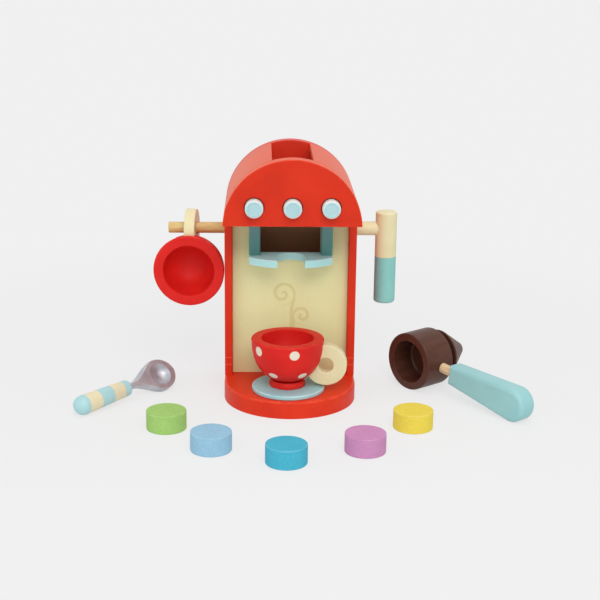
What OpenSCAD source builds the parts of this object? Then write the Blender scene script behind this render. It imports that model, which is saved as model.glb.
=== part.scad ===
// Wooden toy coffee maker with a pod chute, three push buttons, a swinging
// frother, and its loose cups, filter holder, spoon and coffee pods.
// Millimetres, +Z up. The origin is the centre of the base's underside, and
// the machine faces -Y.

/* [Housing] */
// Width across the base and the arched roof
body_w = 135; // [120:1:150]
// Depth from the fascia's front to the back board's rear
body_d = 134.5; // [120:0.5:150]
// Height of the centre of the arched roof
arch_z = 190; // [175:1:210]
// Height of the fascia's lower edge above the arch centre
spring_lift = 2.5; // [0:0.5:6]
// Thickness of the base board
base_t = 18; // [12:1:24]
// How far the base's round front stands ahead of the fascia
base_toe = 12.5; // [6:0.5:20]
// Rounding along the base's top edge
base_ease = 2.5; // [1:0.5:4]
// Thickness of the side panels
side_t = 8; // [6:0.5:10]
// Share of the depth that lies in front of the side panels
side_share = 0.5093; // [0.45:0.0001:0.55]
// Thickness of the back board
back_t = 12; // [9:0.5:15]
// Thickness of the front panel
front_t = 10; // [6:0.5:12]
// Distance from the side panels' front edges to the front panel
front_set_back = 10.3; // [6:0.1:14]
// Rounding of the boards' vertical front edges
board_ease = 1.2; // [0.5:0.1:2]

/* [Hood] */
// Thickness of the fascia
fascia_t = 15; // [13:0.5:18]
// Thickness of the curved roof shells
roof_t = 8; // [6:0.5:10]
// Width of the pod slot between the roof shells
slot_w = 40; // [36:1:46]
// Thickness of the hood floor
floor_t = 8; // [6:0.5:10]
// Radial room for a pod in the hood floor's hole
pod_room = 2.5; // [1.5:0.5:4]
// Width of the sloping pod chute
chute_w = 66; // [56:1:68]
// Thickness of the pod chute
chute_t = 6; // [4:0.5:8]
// Room between the chute's upper corners and the roof shells
chute_room = 2.7; // [1:0.1:5]

/* [Filter bracket] */
// Height of the shelf's top
shelf_z = 148.5; // [140:0.5:155]
// Thickness of the shelf
shelf_t = 8; // [6:0.5:10]
// Thickness of each bracket cheek
cheek_w = 11.5; // [8:0.5:14]
// Depth of each bracket cheek, front to back
cheek_d = 15; // [10:0.5:18]
// Radius of the shelf's bowed front edge
shelf_bow_r = 60; // [55:1:80]
// How far the shelf stands out of the front panel
shelf_reach = 39; // [34:0.5:44]
// How far the window's sill lies below the shelf's top
sill_drop = 5; // [4:0.5:6]
// Room beside the filter cup between the cheeks
bay_room = 0.5; // [0.3:0.1:1.5]
// Room beside the filter holder's neck in the shelf's notch
neck_room = 0.8; // [0.4:0.1:1.5]
// Distance from the notch's rear to the front panel
notch_web = 2.2; // [1.5:0.1:5]

/* [Buttons] */
// Diameter of a button cap
button_d = 18.5; // [14:0.5:22]
// How far a button cap stands out of the fascia
button_proud = 9; // [6:0.5:12]
// How far a cap reaches into its counterbore at rest
button_sunk = 2.5; // [2:0.5:4]
// Radial room round a cap in its counterbore
button_room = 0.4; // [0.3:0.1:1]
// Depth of the counterbores
counterbore_h = 10; // [9:0.5:11]
// Distance between the buttons
button_pitch = 37; // [28:1:38]
// Height of the buttons above the arch centre
button_lift = 21; // [18:0.5:24]
// Diameter of a button's stem
stem_d = 8; // [6:0.5:9]
// How deep a stem sits in its cap
stem_socket = 7; // [5:0.5:8]
// Thickness of the retaining collars
collar_t = 5; // [4:0.5:8]
// Diameter of the retaining collars
collar_d = 15; // [12:0.5:18]
// Wire diameter of the button springs
wire_d = 0.8; // [0.6:0.1:1]
// Turns of each button spring
spring_turns = 4; // [3:1:4]

/* [Rods] */
// Height of the hanging rod and of the frother's axle
rod_z = 168; // [160:1:172]
// Diameter of the hanging rod
rod_d = 11.5; // [9:0.5:12]
// How far the hanging rod stands out of the side panel
rod_reach = 59; // [50:1:70]
// Thickness of the blocks behind the side panels
block_t = 16; // [10:1:18]
// Height of the blocks
block_h = 30; // [26:1:32]
// Room between a block and the boards before and behind it
block_room = 1.85; // [0.5:0.05:4]

/* [Frother] */
// Diameter of the frother's axle
axle_d = 14.5; // [10:0.5:15]
// Radial running clearance of the axle and of the button stems
run_gap = 0.08; // [0.05:0.01:0.1]
// Diameter of the frother's barrel
barrel_d = 22.4; // [20:0.2:26]
// Height of the barrel above the axle
barrel_up = 18.5; // [16:0.5:24]
// Length of the barrel below the axle
barrel_down = 79; // [60:1:90]
// Distance of the barrel's centre from the side panel
barrel_out = 33; // [26:0.5:40]
// Height of the painted boundary below the axle
wand_drop = 29.5; // [20:0.5:40]
// Diameter of the tenon between head and wand
tenon_d = 12; // [8:0.5:13]
// Length of the tenon
tenon_h = 14; // [8:0.5:18]
// Diameter of the axle's retaining collar
axle_collar_d = 26; // [20:0.5:28]
// Thickness of the axle's retaining collar
axle_collar_t = 9; // [7:0.5:12]
// Diameter of the pin through the collar
pin_d = 4; // [3:0.5:5]

/* [Cups and saucer] */
// Radius of a cup's rim
cup_r = 36.8; // [32:0.2:40]
// Height of a cup
cup_h = 50; // [44:0.5:56]
// Radius of a cup's cavity at the rim
cavity_r = 26.5; // [22:0.5:28]
// Depth of a cup's cavity
cavity_h = 31; // [24:0.5:34]
// Radius of a cup's foot
foot_r = 18.3; // [16:0.1:20]
// Height of a cup's foot
foot_h = 4.6; // [3:0.2:6]
// Diameter of a cup's ring handle
ring_d = 42.5; // [38:0.5:46]
// Diameter of the hole in a ring handle
ring_hole_d = 15.5; // [13.5:0.5:18]
// Thickness of a ring handle
ring_t = 11; // [8:0.5:12]
// Distance of the ring handle's centre from the cup's axis
ring_x = 38.9; // [37:0.1:41]
// Height of the ring handle's centre above the foot
ring_z = 23.5; // [21.5:0.1:25]
// Radius of the saucer
saucer_r = 36.9; // [30:0.1:42]
// Thickness of the saucer
saucer_t = 4.4; // [3:0.2:6]

/* [Filter holder] */
// Radius of the filter cup
filter_r = 30.5; // [28:0.5:31]
// Radius of the filter cup's bore
filter_bore_r = 22.4; // [20.5:0.1:23]
// Length of the filter cup's body
filter_h = 36.5; // [30:0.5:40]
// Depth of the filter cup's bore
filter_bore_h = 27; // [22:0.5:30]
// Radius of the neck that slides into the shelf's notch
neck_r = 13; // [11:0.5:14]
// Room above and below the shelf in the neck's groove
groove_room = 1; // [0.6:0.1:2]
// Radius of the nozzle at its shoulder
nozzle_r = 26; // [22:0.5:28]
// Length of the nozzle
nozzle_h = 32.5; // [26:0.5:36]
// Radius of the nozzle's rounded tip
nozzle_tip_r = 12.5; // [8:0.5:14]
// Distance of the handle's dowel from the filter cup's mouth
dowel_drop = 21.5; // [18:0.5:24]
// Diameter of the handle's dowel
dowel_d = 10.5; // [8:0.5:12]
// Length of dowel in view between cup and handle
dowel_show = 16.5; // [8:0.5:20]
// How deep the dowel sits in the filter cup's wall
dowel_cup_socket = 6; // [4:0.5:7]
// How deep the dowel sits in the handle
dowel_handle_socket = 20; // [14:1:30]
// Length of the paddle handle
paddle_l = 102; // [80:1:115]
// Width of the paddle handle beside the cup
paddle_w0 = 20.5; // [18:0.5:24]
// Width of the paddle handle at its round end
paddle_w1 = 34.5; // [28:0.5:38]
// Thickness of the paddle handle
paddle_t = 21; // [16:0.5:24]
// Rounding of the paddle handle's long edges
paddle_ease = 3; // [2:0.5:4]

/* [Spoon] */
// Length of the spoon's handle
spoon_handle_l = 69; // [60:1:80]
// Radius of the handle's round butt
spoon_butt_r = 10; // [8:0.2:11]
// Radius of the handle beside the neck
spoon_front_r = 8.4; // [7:0.2:9]
// Radius of the spoon's neck
spoon_neck_r = 3.2; // [2.5:0.1:4]
// Distance from the handle to the bowl's centre
bowl_out = 43; // [34:1:48]
// Half length of the bowl beyond its centre
bowl_tip = 19; // [17:0.5:24]
// Half width of the bowl
bowl_r = 17.2; // [15:0.2:21]
// Thickness of the bowl's edge above the spoon's axis
bowl_top = 3; // [2:0.2:4]
// Depth of the bowl's underside below the spoon's axis
bowl_keel = 9; // [8:0.5:11]
// Radius of the bowl's domed underside
bowl_dome_r = 34; // [30:1:38]
// Radius of the ball-shaped hollow
hollow_r = 14.5; // [13.5:0.5:16]
// Depth of the hollow
hollow_h = 7; // [6:0.5:8]
// Length of the neck's tenon in the handle
spoon_tenon = 12; // [8:1:20]

/* [Coffee pods] */
// Diameter of a coffee pod
pod_d = 39; // [37:0.5:40]
// Height of a coffee pod
pod_h = 18.6; // [15:0.2:22]
// Rounding of a coffee pod's edges
pod_ease = 0.8; // [0.4:0.1:2]

/* [Places] */
// Cup on the machine's base, left to right
cup_x = -3; // [-8:0.1:2]
// Cup on the machine's base, front to back
cup_y = -32.6; // [-36:0.1:-28]
// Turn of that cup's handle
cup_turn = -6; // [-20:1:10]
// Shift of the saucer beside the cup's axis
saucer_shift = 1; // [0:0.1:2]
// Room between the hanging cup's rim and the side panel
hang_room = 0.6; // [0.4:0.1:4]
// Turn of the hanging cup about the upright
hang_turn = -5.4; // [-8:0.1:0]
// Backward tilt of the hanging cup
hang_tilt = -0.2; // [-6:0.1:0]
// Room between the hanging rod and the handle that rests on it
seat_gap = 0.3; // [0.2:0.1:0.5]
// Centre of the filter cup's mouth, left to right
filter_x = 125.3; // [118:0.1:150]
// Centre of the filter cup's mouth, front to back
filter_y = 16.4; // [10:0.1:26]
// Direction of the lying filter cup's axis, mouth to nozzle
filter_yaw = 38; // [20:1:50]
// Centre of the spoon's round butt, left to right
spoon_x = -206.4; // [-215:0.1:-195]
// Centre of the spoon's round butt, front to back
spoon_y = -60.2; // [-66:0.1:-50]
// Direction of the spoon, butt to bowl
spoon_yaw = 47; // [35:1:55]
// Roll of the spoon about its own axis
spoon_roll = 48; // [35:1:55]

/* [Hidden] */
$fn = 96;
EPS = 0.01;

// Housing, from front to back
half_w = body_w / 2;
y_back = (body_d + base_toe) / 2;
y_fascia = y_back - body_d;
y_fascia_rear = y_fascia + fascia_t;
y_side = y_fascia + side_share * body_d;
y_front = y_side + front_set_back;
y_front_rear = y_front + front_t;
y_board = y_back - back_t;
spring_z = arch_z + spring_lift;
inner_w = half_w - side_t;
roof_in_r = half_w - roof_t;
floor_z = spring_z + floor_t;

// Filter bracket
bay_half = filter_r + bay_room;
shelf_half = bay_half + cheek_w;
notch_r = neck_r + neck_room;
dock_y = y_front - notch_web - notch_r;
shelf_bottom = shelf_z - shelf_t;
pod_hole_r = pod_d / 2 + pod_room;
chute_foot_y = dock_y + pod_hole_r + 0.6;
chute_top_z = arch_z + sqrt(pow(roof_in_r, 2) - pow(chute_w / 2 + chute_room, 2));

// Buttons
BUTTONS = [-1, 0, 1];
button_z = arch_z + button_lift;
button_y = y_fascia - button_proud;
button_h = button_proud + button_sunk;
bore_y = y_fascia + counterbore_h;
collar_gap = 0.3;
collar_y = y_fascia_rear + collar_gap;
stem_y = button_y + button_h - stem_socket;
stem_l = collar_y + collar_t - stem_y;
spring_gap = 0.2;
spring_r = (button_d / 2 + stem_d / 2) / 2 + 0.2;
spring_y = button_y + button_h + spring_gap;
spring_h = bore_y - spring_y - spring_gap;

// Rods
rod_y = (y_front_rear + y_board) / 2;
block_x = inner_w - block_t;
block_d = y_board - y_front_rear - 2 * block_room;
axle_in_x = block_x - collar_gap - axle_collar_t;
barrel_x = half_w + barrel_out;
barrel_ease = 2.5;

// Cups
cup_curve = 2.4;
cavity_curve = 2.2;
rim_ease = 1.6;
neck_z = foot_h + 1.6;
bowl_h = cup_h - neck_z + 0.7;
ring_shift = (cup_h - ring_z) * sin(-hang_turn);
hang_x = -half_w - hang_room - cup_r + ring_shift;
hang_z = rod_z - (ring_hole_d - rod_d) / 2 + seat_gap;

// Filter holder
groove_h = shelf_t + groove_room;
nozzle_z = filter_h + groove_h;
nozzle_l = nozzle_z + nozzle_h;
paddle_x = filter_r + dowel_show;
filter_drop = asin((filter_r - paddle_w1 / 2) / (paddle_x + paddle_l - paddle_w1 / 2));

// Spoon
bowl_x = spoon_handle_l + bowl_out - spoon_butt_r;
bowl_edge_drop = sqrt(pow(bowl_dome_r, 2) - pow(bowl_r, 2)) - bowl_dome_r + bowl_keel;
bowl_sag = 0.03;
bowl_low = bowl_r * sin(spoon_roll) + bowl_edge_drop * cos(spoon_roll) + bowl_sag;
spoon_rise = atan(bowl_low / bowl_x) - asin((spoon_butt_r - EPS) / norm([bowl_x, bowl_low]));

// Coffee pods: name, colour and place of each
POD_NAMES = ["pod_green", "pod_sky", "pod_blue", "pod_pink", "pod_yellow"];
POD_COLOURS = ["yellowgreen", "lightskyblue", "deepskyblue", "orchid", "gold"];
POD_SPOTS = [[-121.3, -96.2], [-75.9, -150.9], [-6.3, -181.3], [67.7, -154.3], [119, -93.9]];

RED = "orangered";
CREAM = "cornsilk";
BLUE = "powderblue";
NATURAL = "burlywood";
BROWN = "saddlebrown";

// ---- Shared shapes ----

// Points of an arc about [x, y], from angle a0 to a1
function arc(x, y, r, a0, a1, n = 8) =
    [for (i = [0:n]) let (a = a0 + (a1 - a0) * i / n) [x + r * cos(a), y + r * sin(a)]];

// Points of a full-bodied bowl curve, from its rim inwards to angle a1
function bowl_arc(r, h, top, power, a1 = 90, n = 16) =
    [for (i = [0:n]) let (a = a1 * i / n)
        [r * pow(cos(a), 2 / power), top - h * pow(sin(a), 2 / power)]];

// Half section of a disc with eased edges, for a rotate_extrude
module disc_section(r, h, ease) {
    polygon(concat(
        [[0, 0]],
        arc(r - ease, ease, ease, -90, 0, 6),
        arc(r - ease, h - ease, ease, 0, 90, 6),
        [[0, h]]
    ));
}

// Upright disc or rod with eased edges
module eased_disc(r, h, ease) {
    rotate_extrude() disc_section(r, h, ease);
}

// Rectangle with two rounded corners on its low-Y side
module front_rounded_rect(w, d, r) {
    union() {
        translate([r, 0]) square([w - 2 * r, d]);
        translate([0, r]) square([w, d - r]);
        for (x = [r, w - r]) translate([x, r]) circle(r = r);
    }
}

// Turns a cylinder's axis from +Z to +Y, starting at y
module along_y(x, y, z) {
    translate([x, y, z]) rotate([-90, 0, 0]) children();
}

// Turns a cylinder's axis from +Z to +X, starting at x
module along_x(x, y, z) {
    translate([x, y, z]) rotate([0, 90, 0]) children();
}

// Extrudes an outline drawn in X and Z from y0 to y1
module board_xz(y0, y1) {
    translate([0, y1, 0]) rotate([90, 0, 0]) linear_extrude(y1 - y0) children();
}

// ---- Housing ----

// Half section of the base's eased edge, from the centre line outwards
module base_section() {
    polygon(concat(
        [[0, 0], [half_w, 0]],
        arc(half_w - base_ease, base_t - base_ease, base_ease, 0, 90, 6),
        [[0, base_t]]
    ));
}

// D-shaped board: a half-round front and a straight back
module base() {
    round_y = half_w - y_back;
    color(RED) union() {
        translate([0, round_y, 0]) rotate([0, 0, 180]) rotate_extrude(angle = 180) base_section();
        for (side = [0, 1]) mirror([side, 0, 0])
            translate([0, y_back, 0]) rotate([90, 0, 0]) linear_extrude(y_back - round_y) base_section();
    }
}

// Side panel on the +X side, drilled for a rod of diameter bore
module side_panel(bore) {
    difference() {
        translate([inner_w, y_side, base_t])
            linear_extrude(spring_z - base_t) front_rounded_rect(side_t, y_board - y_side, board_ease);
        along_x(inner_w - 1, rod_y, rod_z) cylinder(d = bore, h = side_t + 2);
    }
}

module side_panel_left() {
    color(RED) mirror([1, 0, 0]) side_panel(rod_d);
}

module side_panel_right() {
    color(RED) side_panel(axle_d + 2 * run_gap);
}

// Board between the side panels, with a window down to the filter shelf
module front_panel() {
    sill_z = shelf_z - sill_drop;
    color(CREAM) board_xz(y_front, y_front_rear) difference() {
        translate([-inner_w, base_t]) square([2 * inner_w, spring_z - base_t]);
        translate([-bay_half, sill_z]) square([2 * bay_half, spring_z - sill_z + 1]);
    }
}

// Full-height board with an arched top
module back_panel() {
    color(RED) board_xz(y_board, y_back) union() {
        translate([-half_w, base_t]) square([body_w, arch_z - base_t]);
        intersection() {
            translate([0, arch_z]) circle(r = half_w);
            translate([-half_w, arch_z - EPS]) square([body_w, half_w + 1]);
        }
    }
}

// Half-round front with a stepped hole for each button
module fascia() {
    color(RED) difference() {
        board_xz(y_fascia, y_fascia_rear) intersection() {
            translate([0, arch_z]) circle(r = half_w);
            translate([-half_w, spring_z]) square([body_w, half_w]);
        }
        for (i = BUTTONS) {
            along_y(i * button_pitch, y_fascia - 1, button_z)
                cylinder(d = button_d + 2 * button_room, h = counterbore_h + 1);
            along_y(i * button_pitch, y_fascia, button_z)
                cylinder(d = stem_d + 2 * run_gap, h = fascia_t + 1);
        }
    }
}

// Curved shell from the side panel up to the pod slot, on the +X side
module roof_shell() {
    board_xz(y_fascia_rear, y_board) intersection() {
        translate([0, arch_z]) difference() {
            circle(r = half_w);
            circle(r = roof_in_r);
        }
        translate([slot_w / 2, spring_z]) square([half_w, half_w]);
    }
}

module roof_left() {
    color(RED) mirror([1, 0, 0]) roof_shell();
}

module roof_right() {
    color(RED) roof_shell();
}

// Board under the roof shells, holed above the filter cup
module hood_floor() {
    color(RED) difference() {
        board_xz(y_fascia_rear, y_front_rear) intersection() {
            translate([0, arch_z]) circle(r = roof_in_r);
            translate([-half_w, spring_z]) square([body_w, floor_t]);
        }
        translate([0, dock_y, spring_z - 1]) cylinder(r = pod_hole_r, h = floor_t + 2);
    }
}

// Sloping board that leads pods from the slot's rear to the floor's hole
module pod_chute() {
    slope = atan((chute_top_z - floor_z) / (y_board - chute_foot_y));
    drop = chute_t / cos(slope);
    shift = chute_t / sin(slope);
    color(RED) translate([-chute_w / 2, 0, 0]) rotate([90, 0, 90]) linear_extrude(chute_w)
        polygon([
            [chute_foot_y, floor_z],
            [y_board, chute_top_z],
            [y_board, chute_top_z - drop],
            [chute_foot_y + shift, floor_z]
        ]);
}

// ---- Filter bracket ----

// Upright post between the shelf and the hood floor, on the +X side
module cheek() {
    translate([bay_half, y_front - cheek_d, shelf_z])
        linear_extrude(spring_z - shelf_z) front_rounded_rect(cheek_w, cheek_d, board_ease);
}

module cheek_left() {
    color(BLUE) mirror([1, 0, 0]) cheek();
}

module cheek_right() {
    color(BLUE) cheek();
}

// Bowed shelf with a round-ended notch for the filter holder's neck
module filter_shelf() {
    color(BLUE) translate([0, 0, shelf_bottom]) linear_extrude(shelf_t) difference() {
        intersection() {
            translate([0, y_front - shelf_reach + shelf_bow_r]) circle(r = shelf_bow_r);
            translate([-shelf_half, y_front - shelf_reach]) square([2 * shelf_half, shelf_reach]);
        }
        translate([0, dock_y]) circle(r = notch_r);
        translate([-notch_r, dock_y - shelf_reach]) square([2 * notch_r, shelf_reach]);
    }
}

// ---- Buttons ----

// Turned cap with a softly rounded face and a socket for its stem
module button_cap(i) {
    ease = button_d / 7;
    color(BLUE) along_y(i * button_pitch, button_y, button_z) rotate_extrude()
        polygon(concat(
            [[0, 0]],
            arc(button_d / 2 - ease, ease, ease, -90, 0, 6),
            [[button_d / 2, button_h], [stem_d / 2, button_h]],
            [[stem_d / 2, button_h - stem_socket], [0, button_h - stem_socket]]
        ));
}

// Dowel that joins the cap to its collar through the fascia
module button_stem(i) {
    color(NATURAL) along_y(i * button_pitch, stem_y, button_z) cylinder(d = stem_d, h = stem_l);
}

// Ring that stops the button behind the fascia
module button_collar(i) {
    color(NATURAL) along_y(i * button_pitch, collar_y, button_z) difference() {
        cylinder(d = collar_d, h = collar_t);
        translate([0, 0, -1]) cylinder(d = stem_d, h = collar_t + 2);
    }
}

SPRING_SIDES = 6;
SPRING_STEPS = 18;

// Point of a coil's wire: step along the helix, corner round the wire
function coil_point(step, corner, r, h, wire, turns) =
    let (
        turn = 360 * step / SPRING_STEPS,
        lift = wire / 2 + (h - wire) * step / (SPRING_STEPS * turns),
        a = 360 * corner / SPRING_SIDES,
        out = r + wire / 2 * cos(a)
    )
    [out * cos(turn), out * sin(turn), lift + wire / 2 * sin(a)];

// Compression spring of round wire standing on z = 0
module coil(r, h, wire, turns) {
    rings = SPRING_STEPS * turns;
    s = SPRING_SIDES;
    polyhedron(
        points = [for (i = [0:rings], k = [0:s - 1]) coil_point(i, k, r, h, wire, turns)],
        faces = concat(
            [[for (k = [0:s - 1]) k]],
            [for (i = [0:rings - 1], k = [0:s - 1])
                [i * s + k, (i + 1) * s + k, (i + 1) * s + (k + 1) % s, i * s + (k + 1) % s]],
            [[for (k = [s - 1:-1:0]) rings * s + k]]
        )
    );
}

module button_spring(i) {
    color("silver") along_y(i * button_pitch, spring_y, button_z)
        coil(spring_r, spring_h, wire_d, spring_turns);
}

// ---- Rods and frother ----

// Rod that the spare cup hangs on, glued into the side panel and its block
module hanging_rod() {
    end_ease = 0.8;
    color(NATURAL) along_x(-half_w - rod_reach, rod_y, rod_z)
        eased_disc(rod_d / 2, rod_reach + side_t + block_t, end_ease);
}

// Block on the inside of a side panel, on the +X side
module bearing_block(bore) {
    difference() {
        translate([block_x, rod_y - block_d / 2, rod_z - block_h / 2]) cube([block_t, block_d, block_h]);
        along_x(block_x - 1, rod_y, rod_z) cylinder(d = bore, h = block_t + 2);
    }
}

module rod_block() {
    color(NATURAL) mirror([1, 0, 0]) bearing_block(rod_d);
}

module axle_block() {
    color(NATURAL) bearing_block(axle_d + 2 * run_gap);
}

// Axle from the inner collar out to the middle of the barrel
module frother_axle() {
    color(CREAM) difference() {
        along_x(axle_in_x, rod_y, rod_z) cylinder(d = axle_d, h = barrel_x - axle_in_x);
        collar_pin_hole();
    }
}

// Collar that keeps the axle in its block
module frother_collar() {
    color(NATURAL) difference() {
        along_x(axle_in_x, rod_y, rod_z) difference() {
            cylinder(d = axle_collar_d, h = axle_collar_t);
            translate([0, 0, -1]) cylinder(d = axle_d, h = axle_collar_t + 2);
        }
        collar_pin_hole();
    }
}

// Cross pin of the collar, as long as the collar is wide
module collar_pin(length) {
    translate([axle_in_x + axle_collar_t / 2, rod_y, rod_z - length / 2]) cylinder(d = pin_d, h = length);
}

module collar_pin_hole() {
    collar_pin(axle_collar_d + 2);
}

module frother_pin() {
    color(NATURAL) collar_pin(axle_collar_d - 1);
}

// Upper half of the barrel, bored for the axle and the wand's tenon
module frother_head() {
    low_z = rod_z - wand_drop;
    color(CREAM) difference() {
        translate([barrel_x, rod_y, low_z]) rotate_extrude() polygon(concat(
            [[0, 0], [barrel_d / 2, 0]],
            arc(barrel_d / 2 - barrel_ease, wand_drop + barrel_up - barrel_ease, barrel_ease, 0, 90, 6),
            [[0, wand_drop + barrel_up]]
        ));
        along_x(barrel_x - barrel_d, rod_y, rod_z) cylinder(d = axle_d, h = barrel_d);
        translate([barrel_x, rod_y, low_z - 1]) cylinder(d = tenon_d, h = tenon_h + 1);
    }
}

// Lower half of the barrel, with a tenon into the head
module frother_wand() {
    wand_h = barrel_down - wand_drop;
    color(BLUE) translate([barrel_x, rod_y, rod_z - barrel_down]) rotate_extrude() polygon(concat(
        [[0, 0]],
        arc(barrel_d / 2 - barrel_ease, barrel_ease, barrel_ease, -90, 0, 6),
        [[barrel_d / 2, wand_h], [tenon_d / 2, wand_h]],
        [[tenon_d / 2, wand_h + tenon_h], [0, wand_h + tenon_h]]
    ));
}

// ---- Cups and saucer ----

// Half section of a cup without its cavity: foot, neck, full bowl and eased rim
module cup_body_section() {
    wall = [for (p = bowl_arc(cup_r - 0.4, bowl_h, cup_h, cup_curve, 80))
        if (p[1] < cup_h - rim_ease) p];
    polygon(concat(
        [[0, 0]],
        arc(foot_r - 1, 1, 1, -90, 0, 4),
        arc(foot_r - 1.2, foot_h - 1.2, 1.2, 0, 80, 4),
        [[foot_r - 1.8, neck_z]],
        [for (i = [len(wall) - 1:-1:0]) wall[i]],
        arc(cup_r - rim_ease, cup_h - rim_ease, rim_ease, 0, 90, 5),
        [[0, cup_h]]
    ));
}

module cup_cavity_section() {
    polygon(concat(
        [[0, cup_h + 1], [cavity_r + 0.6, cup_h + 1], [cavity_r + 0.6, cup_h]],
        bowl_arc(cavity_r, cavity_h, cup_h - 0.6, cavity_curve)
    ));
}

module cup_shape() {
    rotate_extrude() difference() {
        cup_body_section();
        cup_cavity_section();
    }
}

// Ring glued against the bowl, cut to the bowl's outside
module cup_ring() {
    ring_ease = 1.2;
    difference() {
        translate([ring_x, ring_t / 2, ring_z]) rotate([90, 0, 0]) rotate_extrude()
            translate([ring_hole_d / 2, 0]) ring_section((ring_d - ring_hole_d) / 2, ring_t, ring_ease);
        rotate_extrude() cup_body_section();
    }
}

// Rectangle with four eased corners
module ring_section(w, h, ease) {
    polygon(concat(
        arc(w - ease, ease, ease, -90, 0, 4),
        arc(w - ease, h - ease, ease, 0, 90, 4),
        arc(ease, h - ease, ease, 90, 180, 4),
        arc(ease, ease, ease, 180, 270, 4)
    ));
}

// Places a cup upright on the saucer
module on_saucer() {
    translate([cup_x, cup_y, base_t + saucer_t]) rotate([0, 0, cup_turn]) children();
}

// Hangs a cup by its ring on the rod, mouth to the front
module on_rod() {
    translate([hang_x, rod_y, hang_z]) rotate([hang_tilt, 0, hang_turn]) rotate([0, -90, 90])
        translate([-ring_x, 0, -ring_z]) children();
}

module saucer() {
    saucer_ease = 1.2;
    color(BLUE) translate([cup_x + saucer_shift, cup_y, base_t]) eased_disc(saucer_r, saucer_t, saucer_ease);
}

module cup_bowl() {
    color(RED) on_saucer() cup_shape();
}

module cup_handle() {
    color(CREAM) on_saucer() cup_ring();
}

module hanging_cup_bowl() {
    color(RED) on_rod() cup_shape();
}

module hanging_cup_handle() {
    color(CREAM) on_rod() cup_ring();
}

// ---- Filter holder ----

// Lays the holder on the floor, its axis level and its handle down to the floor.
// Inside, the mouth is at z = 0, the nozzle at +Z and the handle along +X.
module on_floor() {
    translate([filter_x, filter_y, filter_r]) rotate([filter_drop, 0, filter_yaw])
        rotate([0, 90, 0]) rotate([0, 0, -90]) children();
}

// Turned cup with a bore for one pod, a neck and a nozzle
module filter_cup() {
    ease = 1.5;
    shoulder = 1.5;
    slope_a = atan((nozzle_r - nozzle_tip_r) / (nozzle_h - nozzle_tip_r));
    color(BROWN) on_floor() difference() {
        rotate_extrude() polygon(concat(
            [[0, 0]],
            arc(filter_r - ease, ease, ease, -90, 0, 4),
            arc(filter_r - ease, filter_h - ease, ease, 0, 90, 4),
            [[neck_r, filter_h], [neck_r, nozzle_z]],
            arc(nozzle_r - shoulder, nozzle_z + shoulder, shoulder, -90, 0, 4),
            arc(0, nozzle_l - nozzle_tip_r, nozzle_tip_r, 90 - slope_a, 90, 8)
        ));
        translate([0, 0, -1]) rotate_extrude() disc_section(filter_bore_r, filter_bore_h + 1, 3);
        translate([filter_r - dowel_cup_socket, 0, dowel_drop]) rotate([0, 90, 0])
            cylinder(d = dowel_d, h = dowel_cup_socket + 1);
    }
}

module filter_dowel() {
    color(NATURAL) on_floor() translate([filter_r - dowel_cup_socket, 0, dowel_drop]) rotate([0, 90, 0])
        cylinder(d = dowel_d, h = dowel_cup_socket + dowel_show + dowel_handle_socket);
}

// Outline of the paddle in its own plane, inset all round
module paddle_outline(inset) {
    end_x = paddle_l - paddle_w1 / 2;
    hull() {
        translate([inset, -paddle_w0 / 2 + inset]) square([EPS, paddle_w0 - 2 * inset]);
        translate([end_x, 0]) circle(r = paddle_w1 / 2 - inset, $fn = 64);
    }
}

// Tapered paddle with eased long edges and a socket for the dowel
module filter_handle() {
    color(BLUE) on_floor() translate([paddle_x, 0, dowel_drop]) difference() {
        hull() {
            translate([0, 0, -paddle_t / 2 + paddle_ease]) linear_extrude(paddle_t - 2 * paddle_ease)
                paddle_outline(0);
            translate([0, 0, -paddle_t / 2]) linear_extrude(paddle_t) paddle_outline(paddle_ease);
        }
        translate([-1, 0, 0]) rotate([0, 90, 0]) cylinder(d = dowel_d, h = dowel_handle_socket + 1);
    }
}

// ---- Spoon ----

// Lays the spoon down, its butt on the floor and its bowl rolled to the front
module spoon_down() {
    translate([spoon_x, spoon_y, spoon_butt_r]) rotate([0, -spoon_rise, spoon_yaw])
        rotate([spoon_roll, 0, 0]) translate([-spoon_butt_r, 0, 0]) children();
}

// Smooth step from 0 to 1
function smooth(t) = t * t * (3 - 2 * t);

// Half width of the head, x from the handle's end
function head_w(x) = x < bowl_out
    ? spoon_neck_r + (bowl_r - spoon_neck_r) * smooth(x / bowl_out)
    : bowl_r * sqrt(max(0, 1 - pow((x - bowl_out) / bowl_tip, 2)));

// Rounded underside of the head: a dome below the hollow, a keel rising to the neck
module head_underside() {
    keel_rise = atan((bowl_keel - spoon_neck_r) / bowl_out);
    translate([bowl_out, 0, bowl_dome_r - bowl_keel]) {
        sphere(r = bowl_dome_r);
        rotate([0, keel_rise - 90, 0]) cylinder(r = bowl_dome_r, h = bowl_out + 4 * spoon_neck_r);
    }
}

// Pear-shaped head with a rounded underside, a round hollow and a neck
module spoon_head() {
    steps = 24;
    xs = concat(
        [for (i = [0:steps]) bowl_out * i / steps],
        [for (i = [1:steps]) bowl_out + bowl_tip * sin(90 * i / steps)]
    );
    color("thistle") spoon_down() translate([spoon_handle_l, 0, 0]) union() {
        difference() {
            intersection() {
                translate([0, 0, -bowl_keel]) linear_extrude(bowl_keel + bowl_top) polygon(concat(
                    [for (x = xs) [x, head_w(x)]],
                    [for (i = [len(xs) - 2:-1:0]) [xs[i], -head_w(xs[i])]]
                ));
                head_underside();
            }
            translate([bowl_out, 0, bowl_top - hollow_h + hollow_r]) sphere(r = hollow_r);
        }
        along_x(-spoon_tenon, 0, 0) cylinder(r = spoon_neck_r, h = spoon_tenon + spoon_neck_r);
    }
}

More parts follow.
